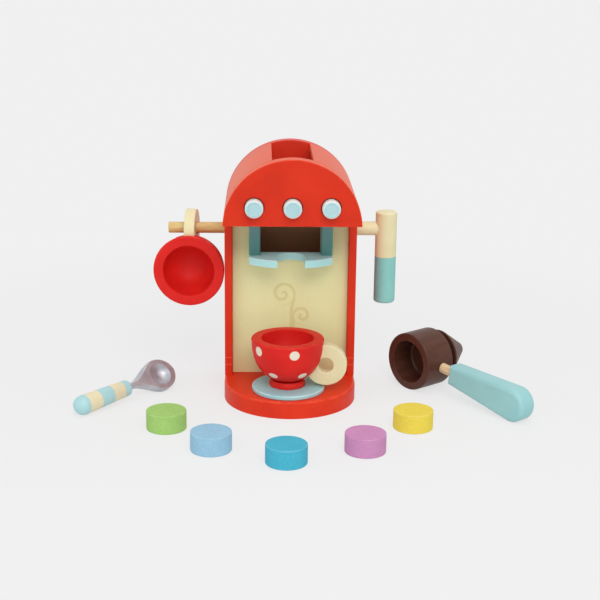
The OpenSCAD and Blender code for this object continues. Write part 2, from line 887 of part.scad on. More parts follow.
// Tapered handle with a round butt
module spoon_handle() {
    front_ease = 1.5;
    color(BLUE) spoon_down() along_x(0, 0, 0) rotate_extrude() polygon(concat(
        [[0, 0]],
        arc(0, spoon_butt_r, spoon_butt_r, -90, -4, 12),
        arc(spoon_front_r - front_ease, spoon_handle_l - front_ease, front_ease, 0, 90, 4),
        [[spoon_neck_r, spoon_handle_l]],
        [[spoon_neck_r, spoon_handle_l - spoon_tenon], [0, spoon_handle_l - spoon_tenon]]
    ));
}

// ---- Coffee pods ----

module pod(i) {
    color(POD_COLOURS[i]) translate([POD_SPOTS[i][0], POD_SPOTS[i][1], 0])
        eased_disc(pod_d / 2, pod_h, pod_ease);
}

// ---- Assembly ----

base();
side_panel_left();
side_panel_right();
front_panel();
back_panel();
fascia();
roof_left();
roof_right();
hood_floor();
pod_chute();
cheek_left();
cheek_right();
filter_shelf();
for (i = BUTTONS) {
    button_cap(i);
    button_stem(i);
    button_spring(i);
    button_collar(i);
}
hanging_rod();
rod_block();
axle_block();
frother_axle();
frother_head();
frother_wand();
frother_collar();
frother_pin();
saucer();
cup_bowl();
cup_handle();
hanging_cup_bowl();
hanging_cup_handle();
filter_cup();
filter_dowel();
filter_handle();
spoon_head();
spoon_handle();
for (i = [0:len(POD_NAMES) - 1])
    pod(i);
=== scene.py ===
"""A wooden toy coffee maker with its loose cups, filter holder, spoon and pods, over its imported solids."""

import math

import bmesh
import bpy
from mathutils import Matrix, Vector


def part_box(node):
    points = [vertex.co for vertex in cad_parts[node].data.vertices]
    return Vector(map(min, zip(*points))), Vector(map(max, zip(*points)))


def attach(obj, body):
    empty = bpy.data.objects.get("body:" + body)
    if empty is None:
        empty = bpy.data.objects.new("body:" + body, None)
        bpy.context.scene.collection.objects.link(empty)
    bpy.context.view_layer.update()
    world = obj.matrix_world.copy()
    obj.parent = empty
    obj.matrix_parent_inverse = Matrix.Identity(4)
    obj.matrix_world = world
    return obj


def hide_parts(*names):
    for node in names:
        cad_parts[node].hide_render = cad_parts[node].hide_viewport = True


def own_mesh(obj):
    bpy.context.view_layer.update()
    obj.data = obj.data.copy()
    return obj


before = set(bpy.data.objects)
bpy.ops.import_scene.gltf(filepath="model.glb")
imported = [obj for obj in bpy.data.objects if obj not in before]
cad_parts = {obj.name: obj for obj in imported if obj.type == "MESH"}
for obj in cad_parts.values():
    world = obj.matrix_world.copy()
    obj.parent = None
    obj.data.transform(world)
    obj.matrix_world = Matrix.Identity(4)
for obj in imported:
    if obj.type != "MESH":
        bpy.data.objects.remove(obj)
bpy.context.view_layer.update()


# ---- Camera ----
# A long lens a little above the toy and just left of its middle. It takes in the front, the top of the
# hood and all the loose pieces.

CAMERA_AT = (-0.02916, -1.26560, 0.46202)
CAMERA_PITCH = 15.857
CAMERA_YAW = 1.767
CAMERA_ROLL = -0.716
LENS = 77.03
SEEN_FROM = 0.05
SEEN_TO = 20


def move(x, y, z):
    return Matrix.Translation((x, y, z))


def spin(degrees, axis):
    return Matrix.Rotation(math.radians(degrees), 4, axis)


def add(name, data):
    """Puts an object into the scene."""
    made = bpy.data.objects.new(name, data)
    bpy.context.scene.collection.objects.link(made)
    return made


camera = add("camera", bpy.data.cameras.new("camera"))
camera.data.lens = LENS
camera.data.clip_start = SEEN_FROM
camera.data.clip_end = SEEN_TO
camera.matrix_world = (
    move(*CAMERA_AT) @ spin(-CAMERA_YAW, "Z") @ spin(90 - CAMERA_PITCH, "X") @ spin(-CAMERA_ROLL, "Z")
)
bpy.context.scene.camera = camera
bpy.context.scene.view_settings.view_transform = "Standard"


# ---- Base board ----
# An 18 mm board with a half-round front, its top edge well rounded for small hands, sprayed in satin
# red over a sealed ground.

MM = 0.001
NEAR = 0.01
BASE_TOP_EASE = 2.5
BASE_EDGE_EASE = 0.7
BASE_RED = ((0.80, 0.042, 0.008), (0.70, 0.028, 0.006))
# Paler red on the rounded edges: part paint rubbed thin, part painted highlight.
RED_WORN_AND_LIT_EDGE = (0.86, 0.09, 0.035)


def span(node):
    """Lowest and highest corner of a solid, in millimetres."""
    low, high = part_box(node)
    return low / MM, high / MM


def middle(node):
    """Middle of a solid's box, in millimetres."""
    low, high = span(node)
    return (low + high) / 2


def half_size(node):
    low, high = span(node)
    return (high - low) / 2


def arc(x, y, radius, start, end, steps):
    """Points of a circular arc, its angles in degrees."""
    angles = [math.radians(start + (end - start) * i / steps) for i in range(steps + 1)]
    return [(x + radius * math.cos(a), y + radius * math.sin(a)) for a in angles]


def sharp_edges(bm, least=28):
    """Edges where a piece bends by more than least degrees."""
    return [e for e in bm.edges if e.is_manifold and e.calc_face_angle(0) > math.radians(least)]


def edges_at(bm, test, way=None):
    """Sharp edges with both ends where test says, and that run along the axis way, if it is given."""
    found = [e for e in sharp_edges(bm) if all(test(v.co) for v in e.verts)]
    return [e for e in found if way is None or abs(getattr(e.verts[0].co - e.verts[1].co, way)) > 1]


def board(outline, low, high, across):
    """Saws a board from an outline, its thickness along the axis named by across."""
    bm = bmesh.new()
    rings = []
    for level in (low, high):
        points = [list(point) for point in outline]
        for point in points:
            point.insert("xyz".index(across), level)
        rings.append([bm.verts.new(point) for point in points])
    edges = [bm.edges.new(pair) for ring in rings for pair in zip(ring, ring[1:] + ring[:1])]
    bmesh.ops.bridge_loops(bm, edges=edges)
    for ring in rings:
        bm.faces.new(ring)
    bmesh.ops.recalc_face_normals(bm, faces=bm.faces)
    return bm


def ease(bm, width, edges=None, segments=3):
    """Rounds a board's edges: all its sharp ones, or those given."""
    bmesh.ops.bevel(
        bm,
        geom=sharp_edges(bm) if edges is None else edges,
        offset=width,
        offset_type="OFFSET",
        affect="EDGES",
        segments=segments,
        profile=0.5,
        material=-1,
        clamp_overlap=True,
    )


def mark_wear_and_highlight(bm, width):
    """Marks the roundings whose faces are narrower than width, where paint is paler: part rubbed thin, part
    painted highlight.
    """
    wear_and_highlight = bm.loops.layers.float.new("wear_and_highlight")
    bent = set(sharp_edges(bm, 7))
    rounded = {}
    for face in bm.faces:
        bends = [e.calc_length() for e in face.edges if e in bent]
        rounded[face] = len(bends) > 1 and face.calc_area() / max(bends) < width
    for face in bm.faces:
        for loop in face.loops:
            loop[wear_and_highlight] = float(rounded[face] and all(rounded[f] for f in loop.vert.link_faces))


def solid(name, bm):
    """Puts a bmesh into the scene as an object."""
    mesh = bpy.data.meshes.new(name)
    bm.to_mesh(mesh)
    bm.free()
    return add(name, mesh)


def piece(name, bm, finish, body, slot, *nodes, wear_and_highlight=None):
    """Makes a bmesh in millimetres a finished piece that rides on a body and stands for solids."""
    if wear_and_highlight:
        mark_wear_and_highlight(bm, wear_and_highlight)
    for face in bm.faces:
        face.smooth = True
    for edge in sharp_edges(bm, 38):
        edge.smooth = False
    bmesh.ops.scale(bm, vec=(MM, MM, MM), verts=bm.verts)
    made = solid(name, bm)
    made.data.materials.append(finish)
    normals = made.modifiers.new("flat faces stay flat", "WEIGHTED_NORMAL")
    normals.keep_sharp = True
    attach(made, body)
    if nodes:
        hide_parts(*nodes)
    return made


class Link:
    """A node's output. Arithmetic on it adds Math nodes."""

    def __init__(self, nodes, socket):
        self.nodes = nodes
        self.socket = socket

    def math(self, operation, *others):
        return self.nodes.node("ShaderNodeMath", dict(enumerate((self, *others))), operation=operation)

    def __add__(self, other):
        return self.math("ADD", other)

    def __sub__(self, other):
        return self.math("SUBTRACT", other)

    def __rsub__(self, other):
        return self.nodes.node("ShaderNodeMath", {0: other, 1: self}, operation="SUBTRACT")

    def __mul__(self, other):
        return self.math("MULTIPLY", other)

    def __truediv__(self, other):
        return self.math("DIVIDE", other)

    __radd__ = __add__
    __rmul__ = __mul__

    def hypot(self, other):
        return (self * self + other * other).math("SQRT")

    def length(self):
        """How long a vector is."""
        return self.nodes.node("ShaderNodeVectorMath", {0: self}, 1, operation="LENGTH")

    def clip(self, low, high):
        """0 below low, 1 above high, smooth between."""
        ends = {"Value": self, "From Min": low, "From Max": high}
        return self.nodes.node("ShaderNodeMapRange", ends, interpolation_type="SMOOTHSTEP")

    def within(self, reach, soft):
        """1 up to reach millimetres and 0 beyond, with a border soft millimetres wide."""
        return 1 - self.clip((reach - soft / 2) * MM, (reach + soft / 2) * MM)

    def output(self, name):
        """Another output of the same node."""
        return Link(self.nodes, self.socket.node.outputs[name])


class Nodes:
    """The shader nodes of a material or of the room."""

    def __init__(self, owner):
        owner.use_nodes = True
        self.tree = owner.node_tree

    def node(self, kind, sockets=(), output=0, **settings):
        """Adds a node: its settings first, then the values or links of its sockets."""
        made = self.tree.nodes.new(kind)
        for key, value in settings.items():
            setattr(made, key, value)
        for key, value in dict(sockets).items():
            self.feed(made.inputs[key], value)
        return Link(self, made.outputs[output])

    def feed(self, socket, value):
        if isinstance(value, Link):
            self.tree.links.new(value.socket, socket)
        else:
            socket.default_value = value


class Finish(Nodes):
    """A surface finish: a Principled shader and the nodes that vary it."""

    def __init__(self, name, **constants):
        self.material = bpy.data.materials.new(name)
        super().__init__(self.material)
        self.shader = self.tree.nodes["Principled BSDF"]
        for socket, value in constants.items():
            self.shader.inputs[socket.replace("_", " ")].default_value = value

    def set(self, socket, value):
        self.feed(self.shader.inputs[socket], value)

    def coat(self, colour, roughness):
        self.set("Base Color", colour)
        self.set("Roughness", roughness)

    def mix(self, share, first, second):
        """Colour between first and second."""
        first, second = (colour if isinstance(colour, Link) else (*colour, 1) for colour in (first, second))
        return self.node("ShaderNodeMix", {0: share, 6: first, 7: second}, 2, data_type="RGBA")

    def film(self, colours, broad, fine, share=0.3):
        """Paint between its full and its deep colour, in broad clouds with a share of fine mottling."""
        full, deep = colours
        return self.mix((broad * (1 - share) + fine * share).clip(0.3, 0.7), deep, full)

    def here(self, what="Object"):
        """Object coordinates of the point that is shaded, or another of its coordinates."""
        return self.node("ShaderNodeTexCoord").output(what)

    def wear_and_highlight(self):
        """1 on the roundings that are painted paler, part wear and part painted highlight, 0 elsewhere."""
        return self.node("ShaderNodeAttribute", attribute_name="wear_and_highlight").output("Fac")

    def place(self, centre=(0, 0, 0), along=(0, 0, 1), stretch=1):
        """Object coordinates from a centre, with the third one drawn out along a direction."""
        sockets = {
            "Vector": self.here(),
            "Location": Vector(centre) * MM,
            "Rotation": Vector((0, 0, 1)).rotation_difference(Vector(along)).to_euler(),
            "Scale": (1, 1, stretch),
        }
        return self.node("ShaderNodeMapping", sockets, vector_type="TEXTURE")

    def split(self, vector):
        """The three parts of a vector."""
        apart = self.node("ShaderNodeSeparateXYZ", {"Vector": vector})
        return [apart.output(axis) for axis in "XYZ"]

    def noise(self, size, detail=2, roughness=0.5, place=None):
        """Noise from 0 to 1 whose features are size millimetres across."""
        sockets = {"Scale": 1 / (size * MM), "Detail": detail, "Roughness": roughness}
        sockets["Vector"] = place or self.place()
        return self.node("ShaderNodeTexNoise", sockets)

    def bump(self, height, strength, depth):
        """Relief of depth millimetres on the surface's normal."""
        sockets = {"Height": height, "Strength": strength, "Distance": depth * MM}
        self.set("Normal", self.node("ShaderNodeBump", sockets))


def painted(
    name,
    colours,
    along=(0, 0, 1),
    roughness=0.45,
    gloss=0.26,
    wear_and_highlight_colour=None,
    wear_and_highlight_share=0.5,
    clouding=34,
    marks=None,
    **constants,
):
    """Satin paint on sanded wood: cloudy film, grain that just shows, paler edges that are part rubbed film
    and part painted highlight.
    """
    finish = Finish(name, IOR=1.47, Specular_IOR_Level=gloss, **constants)
    clouds = finish.noise(clouding, 3)
    pores = finish.noise(1.1, 3, 0.6, finish.place(along=along, stretch=14))
    spray = finish.noise(0.55)
    film = finish.film(colours, clouds, pores, 0.25)
    for share, mark in marks(finish) if marks else ():
        film = finish.mix(share, film, mark)
    # Paler colour on the roundings: part rubbed film, part painted highlight.
    if wear_and_highlight_colour:
        patches = finish.noise(7, 3).clip(0.36, 0.6)
        film = finish.mix(finish.wear_and_highlight() * patches * wear_and_highlight_share, film, wear_and_highlight_colour)
    finish.coat(film, roughness - 0.05 + 0.06 * clouds + 0.05 * spray)
    finish.bump(pores + spray * 0.35, 0.35, 0.06)
    return finish.material


low, high = span("base")
half_width = high.x
front_centre = low.y + half_width
base_outline = arc(0, front_centre, half_width, 180, 360, 96) + [(half_width, high.y), (-half_width, high.y)]
base = board(base_outline, low.z, high.z, "z")
top_edges = edges_at(base, lambda at: at.z > high.z - NEAR)
ease(base, BASE_TOP_EASE, [e for e in top_edges if any(v.co.y < high.y - NEAR for v in e.verts)], 6)
ease(base, BASE_EDGE_EASE, segments=2)
red_base = painted("red satin, base", BASE_RED, along=(1, 0, 0), wear_and_highlight_colour=RED_WORN_AND_LIT_EDGE)
piece("base_board", base, red_base, "housing", "red_paint", "base", wear_and_highlight=0.9)


# ---- Side boards ----
# Two 8 mm boards, rounded on their front uprights, glued to the base and sprayed satin red. Two fine
# level lines of painted highlight run across the foot of each, paler red where scored lines would catch
# the light; nothing is cut there.

RED = ((0.75, 0.034, 0.005), (0.66, 0.025, 0.004))
# Heights of two paler lines painted as a highlight; nothing is cut there.
HIGHLIGHT_LINE_HEIGHTS = (30.0, 37.5)
HIGHLIGHT_LINE_WIDTH = 0.9
HIGHLIGHT_LINE_SHARE = 0.5
HIGHLIGHT_LINE_COLOUR = (0.95, 0.17, 0.10)
SIDE_ROUNDING = 1.2
AXLE_ROOM = 0.08


def turned(profile, closed=False, steps=96):
    """Turns a profile of (radius, height) points on the upright axis."""
    bm = bmesh.new()
    verts = [bm.verts.new((radius, 0, height)) for radius, height in profile]
    pairs = list(zip(verts, verts[1:])) + ([(verts[-1], verts[0])] if closed else [])
    edges = [bm.edges.new(pair) for pair in pairs]
    bmesh.ops.spin(
        bm, geom=verts + edges, cent=(0, 0, 0), axis=(0, 0, 1), angle=math.tau, steps=steps, use_merge=True
    )
    bmesh.ops.remove_doubles(bm, verts=bm.verts, dist=0.001)
    bmesh.ops.recalc_face_normals(bm, faces=bm.faces)
    return bm


def put(bm, *turns):
    """Moves a piece from the maker's bench to its place, by the turns given, the last one first."""
    for turn in reversed(turns):
        bmesh.ops.transform(bm, matrix=turn, verts=bm.verts)
    return bm


def cut(bm, tool):
    """Cuts a tool's volume out of a piece, exactly."""
    blank, cutter = solid("blank", bm), solid("tool", tool)
    cutting = blank.modifiers.new("cut", "BOOLEAN")
    cutting.operation = "DIFFERENCE"
    cutting.solver = "EXACT"
    cutting.object = cutter
    result = bmesh.new()
    result.from_object(blank, bpy.context.evaluated_depsgraph_get())
    for done in (blank, cutter):
        bpy.data.meshes.remove(done.data)
    return result


def drill(bm, at, way, *steps):
    """Drills a hole from a point along an axis: a radius and how deep it goes, then any narrower ones."""
    start = -1
    profile = [(0, start)]
    for radius, depth in steps:
        profile += [(radius, start), (radius, depth)]
        start = depth
    profile.append((0, start))
    return cut(bm, put(turned(profile, steps=64), move(*at), {"x": spin(90, "Y"), "y": spin(-90, "X")}[way]))


def painted_highlight_lines(finish):
    """Painted highlight: two lines at the foot of a side board, paler than its red, with no groove cut
    there.
    """
    level = finish.split(finish.place())[2]
    away = ((level - height * MM).math("ABSOLUTE") for height in HIGHLIGHT_LINE_HEIGHTS)
    lines = sum(distance.within(HIGHLIGHT_LINE_WIDTH / 2, HIGHLIGHT_LINE_WIDTH / 2) for distance in away)
    return [(lines * HIGHLIGHT_LINE_SHARE, HIGHLIGHT_LINE_COLOUR)]


# The side boards carry the lines of painted highlight at their foot.
red_sides = painted("red satin, sides", RED, wear_and_highlight_colour=RED_WORN_AND_LIT_EDGE, marks=painted_highlight_lines)
rod_radius = half_size("hanging_rod").z
rod_y, rod_z = middle("hanging_rod").yz
axle_radius = half_size("frother_axle").z
for side, drilled_for in (("left", rod_radius), ("right", axle_radius + AXLE_ROOM)):
    low, high = span("side_panel_" + side)
    upright = [(low.y, low.z), (high.y, low.z), (high.y, high.z), (low.y, high.z)]
    panel = board(upright, low.x, high.x, "x")
    ease(panel, SIDE_ROUNDING, edges_at(panel, lambda at: at.y < low.y + NEAR, "z"), 4)
    panel = drill(panel, (low.x, rod_y, rod_z), "x", (drilled_for, high.x - low.x + 1))
    piece(side + "_side_board", panel, red_sides, "housing", "red_paint", "side_panel_" + side, wear_and_highlight=0.7)


# ---- Front panel ----
# A cream board let in between the sides, sawn out for the filter window. Two steam curls are screened on
# it, only a little deeper than the cream, each with a wisp that rises to it.

# Paler cream on the rounded edges: part paint rubbed thin, part painted highlight.
CREAM_WORN_AND_LIT_EDGE = (0.86, 0.80, 0.56)
PANEL_CREAM = ((0.84, 0.85, 0.465), (0.80, 0.80, 0.42))
PANEL_EASE = 0.4
WINDOW_HALF = 31
WINDOW_SILL = 143.5
STEAM = (0.62, 0.56, 0.20)
STEAM_LINE = 3.8
STEAM_SHARE = 0.5
CURLS = (((-7.5, 104), 13, 9, -1, 0.389), ((12.5, 80.5), 10, 7.5, 1, 0.778))
WISPS = (((-1.5, 60), (4.7, 99.6), 1.2), ((2.6, 57), (3.1, 77.1), -1.1))


def curl(finish, centre, radius, pitch, hand, phase):
    """Mask of a spiral line about a centre on the panel, wound in from its outer radius."""
    across, _, up = finish.split(finish.place((centre[0], 0, centre[1])))
    turn = up.math("ARCTAN2", across) * (hand / math.tau)
    distance = across.hypot(up)
    coil = distance / (pitch * MM) - turn - phase
    half = STEAM_LINE / pitch / 2
    line = 1 - coil.math("PINGPONG", 0.5).clip(half * 0.1, half * 1.5)
    return line * distance.within(radius + 0.1, 1)


def wisp(finish, start, end, sway):
    """Mask of a line that rises in an S from start to end on the panel."""
    across, _, up = finish.split(finish.place((start[0], 0, start[1])))
    share = up / ((end[1] - start[1]) * MM)
    middle = share * ((end[0] - start[0]) * MM) + (share * math.tau).math("SINE") * (sway * MM)
    ends = share.clip(-0.02, 0.04) * (1 - share.clip(0.985, 1.01))
    return (across - middle).math("ABSOLUTE").within(STEAM_LINE * 0.4, STEAM_LINE * 0.7) * ends


def steam(finish):
    lines = [curl(finish, *sizes) for sizes in CURLS] + [wisp(finish, *sizes) for sizes in WISPS]
    film = lines[0]
    for line in lines[1:]:
        film = film.math("MAXIMUM", line)
    return [(film * STEAM_SHARE, STEAM)]


cream_panel = painted(
    "cream satin, front panel", PANEL_CREAM, wear_and_highlight_colour=CREAM_WORN_AND_LIT_EDGE, marks=steam, clouding=60
)
low, high = span("front_panel")
panel_outline = [
    (low.x, low.z),
    (high.x, low.z),
    (high.x, high.z),
    (WINDOW_HALF, high.z),
    (WINDOW_HALF, WINDOW_SILL),
    (-WINDOW_HALF, WINDOW_SILL),
    (-WINDOW_HALF, high.z),
    (low.x, high.z),
]
front = board(panel_outline, low.y, high.y, "y")
ease(front, PANEL_EASE, segments=2)
piece("cream_front_panel", front, cream_panel, "housing", "cream_paint", "front_panel", wear_and_highlight=0.4)


# ---- Back board ----
# A full-height board with an arched top. Outside it is sprayed red; inside, the paint stops above the
# chute and leaves bare birch in the cabinet behind the window, darkened with painted shade towards the
# window's sill.

BIRCH = ((0.78, 0.53, 0.28), (0.70, 0.46, 0.23), (0.52, 0.31, 0.14))
BIRCH_HEART = (-210, 150, 0)
BIRCH_RING = 3.4
# Deep brown for the lower cabinet: painted shade.
CABINET_PAINTED_SHADE = (0.29, 0.165, 0.075)
CABINET_SHADE_FULL_BELOW = 152.0
CABINET_HALF = 59.3
SPRAY_LINE = 204.0
SPRAY_SOFT = 4
BACK_EASE = 0.8


def wood_tone(finish, wood, along, heart, ring):
    """Colour of bare wood: growth rings about a heart line, drawn-out fibres and short dark pores."""
    pale, tan, dark = wood
    drawn = finish.place(heart, along, 9)
    sway = finish.noise(26, place=finish.place(heart, along, 5))
    flat = finish.node("ShaderNodeVectorMath", {0: drawn, 1: (1, 1, 0)}, operation="MULTIPLY")
    rings = (flat.length() / (ring * MM) + sway * 5).math("PINGPONG", 0.5)
    fibres = finish.noise(0.9, 3, 0.65, drawn)
    pores = finish.noise(0.45, 1, place=finish.place(heart, along, 22)).clip(0.60, 0.72)
    grown = finish.mix((rings * 1.3 + fibres * 0.5 - 0.1).clip(0.1, 0.95), tan, pale)
    return finish.mix(pores * 0.55 + (0.42 - fibres).clip(0, 0.2) * 0.4, grown, dark), fibres, pores


def facing(finish, axis):
    """How much the surface faces along an axis, from -1 to 1."""
    return finish.split(finish.here("Normal"))["XYZ".index(axis)]


def bare_inside(finish, level):
    """The cabinet's side of the back board, below the spray line."""
    edge = finish.noise(6, 3) * (3 * MM)
    bare = (level + edge).within(SPRAY_LINE + 1, SPRAY_SOFT)
    front_face = (0 - facing(finish, "Y")).clip(0.7, 0.9)
    return bare * front_face * finish.split(finish.place())[0].math("ABSOLUTE").within(CABINET_HALF, 0.6)


low, high = span("back_panel")
arch_z = high.z - half_width
birch = Finish("red satin outside, bare birch inside", IOR=1.47)
level = birch.split(birch.place())[2]
bare = bare_inside(birch, level)
tone, fibres, pores = wood_tone(birch, BIRCH, (0, 0, 1), BIRCH_HEART, BIRCH_RING)
# Painted shade: the bare birch darkens to deep brown towards the window's sill.
tone = birch.mix(1 - level.clip(CABINET_SHADE_FULL_BELOW * MM, (SPRAY_LINE - 8) * MM), tone, CABINET_PAINTED_SHADE)
clouds = birch.noise(34, 3)
sprayed = birch.mix(clouds.clip(0.3, 0.7), RED[1], RED[0])
birch.coat(birch.mix(bare, sprayed, tone), 0.42 + 0.2 * bare + 0.05 * clouds)
birch.bump(fibres - pores * 0.6, 0.3, 0.07)
arched = [(-half_width, low.z), (half_width, low.z)] + arc(0, arch_z, half_width, 0, 180, 96)
back = board(arched, low.y, high.y, "y")
ease(back, BACK_EASE)
piece("arched_back_board", back, birch.material, "housing", "red_paint", "back_panel", wear_and_highlight=0.8)


# ---- Fascia ----
# A half-round of 15 mm board across the front, with a stepped hole for each sprung button. Its rim is
# well eased and its upward faces get the roof's more orange red, a painted sheen; its face is left plain
# but for a ring of painted shade round each button's gap.

FASCIA_EASE = 1.1
CAP_ROOM = 0.4
STEM_ROOM = 0.08
BORE_DEPTH = 10
RIM_TURN = 0.6
FASCIA_RED = ((0.69, 0.028, 0.004), (0.60, 0.021, 0.003))
# More orange than the sides' red: a painted sheen, used on the roof and the fascia's upward faces.
ROOF_RED_PAINTED_SHEEN = ((0.78, 0.060, 0.005), (0.72, 0.048, 0.004))
ROOF_BLOOM = (1.0, 0.50, 0.28, 1)
# A dark ring painted round each button's gap and inside its hole: painted shade.
HOLE_SHADE = (0.12, 0.010, 0.006)
HOLE_SHADE_SHARE = 0.9
HOLE_RIM = 0.8


def button_discs(finish, rim, soft):
    """Mask of the discs about the three buttons' axes, out to rim millimetres past their caps."""
    discs = 0
    for number in "123":
        cap = "button_cap_" + number
        x, _, z = finish.split(finish.place(middle(cap)))
        discs = x.hypot(z).within(half_size(cap).x + rim, soft) + discs
    return discs


# The roof's paint carries the painted sheen in its colour.
red_roof_painted_sheen = painted(
    "red satin, roof",
    ROOF_RED_PAINTED_SHEEN,
    along=(0, 1, 0),
    wear_and_highlight_colour=RED_WORN_AND_LIT_EDGE,
    roughness=0.40,
    gloss=0.18,
    Sheen_Weight=0.2,
    Sheen_Roughness=0.45,
    Sheen_Tint=ROOF_BLOOM,
)
# The fascia's face carries the rings of painted shade round the buttons.
red_fascia = painted(
    "red satin, fascia",
    FASCIA_RED,
    along=(1, 0, 0),
    wear_and_highlight_colour=RED_WORN_AND_LIT_EDGE,
    marks=lambda finish: [(button_discs(finish, HOLE_RIM, 0.6) * HOLE_SHADE_SHARE, HOLE_SHADE)],
)
low, high = span("fascia")
spring_angle = math.degrees(math.asin((low.z - arch_z) / half_width))
fascia_outline = arc(0, arch_z, half_width, spring_angle, 180 - spring_angle, 96)
fascia = board(fascia_outline, low.y, high.y, "y")
rim = edges_at(fascia, lambda at: at.y < low.y + NEAR or at.y > high.y - NEAR)
on_arch = edges_at(fascia, lambda at: math.hypot(at.x, at.z - arch_z) > half_width - 0.05)
on_sill = edges_at(fascia, lambda at: at.z < low.z + NEAR)
ease(fascia, FASCIA_EASE, [e for e in rim if e in on_arch or e in on_sill], 4)
for number in "123":
    x, z = middle("button_cap_" + number).xz
    cap_hole = (half_size("button_cap_" + number).x + CAP_ROOM, BORE_DEPTH)
    stem_hole = (half_size("button_stem_" + number).x + STEM_ROOM, high.y - low.y + 1)
    fascia = drill(fascia, (x, low.y, z), "y", cap_hole, stem_hole)
made = piece("half_round_fascia", fascia, red_fascia, "housing", "red_paint", "fascia", wear_and_highlight=0.8)
# The fascia's upward-facing rim faces take the roof's paint: a painted sheen.
made.data.materials.append(red_roof_painted_sheen)
for polygon in made.data.polygons:
    if abs(polygon.normal.y) < RIM_TURN and polygon.normal.z > 0:
        polygon.material_index = 1


# ---- Roof shells ----
# Two quarter-round shells, bent and glued between fascia and back board, that leave the pod slot open
# between them. Their red is more orange than the sides' red, a painted sheen, and their satin film has a
# faint bloom along the crown.

ROOF_EASE = 0.9
ROOF_THICKNESS = 8

inner = half_width - ROOF_THICKNESS
for side, mirror in (("left", -1), ("right", 1)):
    low, high = span("roof_" + side)
    slot_half = min(abs(low.x), abs(high.x))
    outer_end = math.degrees(math.acos(slot_half / half_width))
    inner_end = math.degrees(math.acos(slot_half / inner))
    inner_start = math.degrees(math.asin((low.z - arch_z) / inner))
    shell_outline = arc(0, arch_z, half_width, spring_angle, outer_end, 48)
    shell_outline += arc(0, arch_z, inner, inner_end, inner_start, 48)
    shell = board([(mirror * u, v) for u, v in shell_outline], low.y, high.y, "y")
    ease(shell, ROOF_EASE, edges_at(shell, lambda at: abs(abs(at.x) - slot_half) < NEAR, "y"))
    piece(side + "_roof_shell", shell, red_roof_painted_sheen, "housing", "red_paint", "roof_" + side, wear_and_highlight=0.7)


# ---- Hood floor and pod chute ----
# Inside the hood, a holed floor board over the filter cup and a sloping board that leads each pod to it,
# both sprayed red with the hood.

red_inside = painted("red satin, inside the hood", RED, along=(1, 0, 0), roughness=0.5)


def dress(material, *nodes):
    """Gives their finish to solids that are shown as they are."""
    for node in nodes:
        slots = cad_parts[node].data.materials
        slots.clear()
        slots.append(material)


dress(red_inside, "hood_floor", "pod_chute")


# ---- Filter bracket ----
# Two deep teal posts and a bowed shelf in light blue, glued to the front panel. The posts' deeper teal,
# deepest at the shelf, is painted shade, and the shelf's paler top is painted light. The shelf's notch takes
# the filter holder's neck; its edges are paler, part rubbed with use and part painted highlight.

BLUE = ((0.41, 0.685, 0.715), (0.345, 0.625, 0.665))
# Paler blue on the rounded edges: part paint rubbed thin, part painted highlight.
BLUE_WORN_AND_LIT_EDGE = (0.74, 0.84, 0.84)
# Deeper teal than the shelf's blue: painted shade under the hood.
POST_BLUE_PAINTED_SHADE = ((0.145, 0.335, 0.335), (0.145, 0.335, 0.335))
# Deeper still towards the shelf: painted shade.
POST_PAINTED_SHADE_LOW = (0.085, 0.27, 0.255)
POST_ROUNDING = 1.2
SHELF_BLUE = ((0.48, 0.82, 0.80), (0.42, 0.76, 0.745))
# Paler blue on the shelf's upward face: painted light.
SHELF_TOP_PAINTED_LIGHT = (0.47, 0.97, 0.96)
SHELF_EASE = 0.9
SHELF_BOW = 60
SHELF_DEPTH = 39
NOTCH_RADIUS = 13.8
NOTCH_AT = 1.8


def painted_shade_towards_shelf(finish):
    """Painted shade: the posts' film gets deeper and greener from the hood down to the shelf."""
    low, high = span("cheek_left")
    level = finish.split(finish.place())[2]
    return [(1 - level.clip(low.z * MM, (high.z - 8) * MM), POST_PAINTED_SHADE_LOW)]


def bow_angle(x):
    """Angle on the shelf's bow at x to the side of its middle."""
    return math.degrees(math.acos(x / SHELF_BOW))


# The posts get the darker paint, deepest at the shelf: painted shade.
shaded_posts = painted("deep teal satin, bracket posts", POST_BLUE_PAINTED_SHADE, wear_and_highlight_colour=BLUE[0], marks=painted_shade_towards_shelf)
for side in ("left", "right"):
    low, high = span("cheek_" + side)
    footprint = [(low.x, low.y), (high.x, low.y), (high.x, high.y), (low.x, high.y)]
    post = board(footprint, low.z, high.z, "z")
    ease(post, POST_ROUNDING, edges_at(post, lambda at: at.y < low.y + NEAR, "z"), 4)
    piece(side + "_bracket_post", post, shaded_posts, "housing", "blue_paint", "cheek_" + side, wear_and_highlight=0.6)

# The shelf's top gets the paler blue: painted light.
blue_shelf = painted(
    "light blue satin, shelf",
    SHELF_BLUE,
    along=(1, 0, 0),
    gloss=0.12,
    wear_and_highlight_colour=BLUE_WORN_AND_LIT_EDGE,
    wear_and_highlight_share=0.8,
    marks=lambda finish: [(facing(finish, "Z").clip(0.6, 0.9), SHELF_TOP_PAINTED_LIGHT)],
)
low, high = span("filter_shelf")
bow_y = high.y - SHELF_DEPTH + SHELF_BOW
bow_end, bow_start = bow_angle(high.x), bow_angle(NOTCH_RADIUS)
shelf_outline = [(high.x, high.y)]
shelf_outline += arc(0, bow_y, SHELF_BOW, -bow_end, -bow_start, 24)
shelf_outline += arc(0, NOTCH_AT, NOTCH_RADIUS, 0, 180, 32)
shelf_outline += arc(0, bow_y, SHELF_BOW, -180 + bow_start, -180 + bow_end, 24)
shelf_outline += [(low.x, high.y)]
shelf = board(shelf_outline, low.z, high.z, "z")
ease(shelf, SHELF_EASE, [e for e in sharp_edges(shelf) if any(v.co.y < high.y - NEAR for v in e.verts)])
piece("bowed_filter_shelf", shelf, blue_shelf, "housing", "blue_paint", "filter_shelf", wear_and_highlight=0.8)


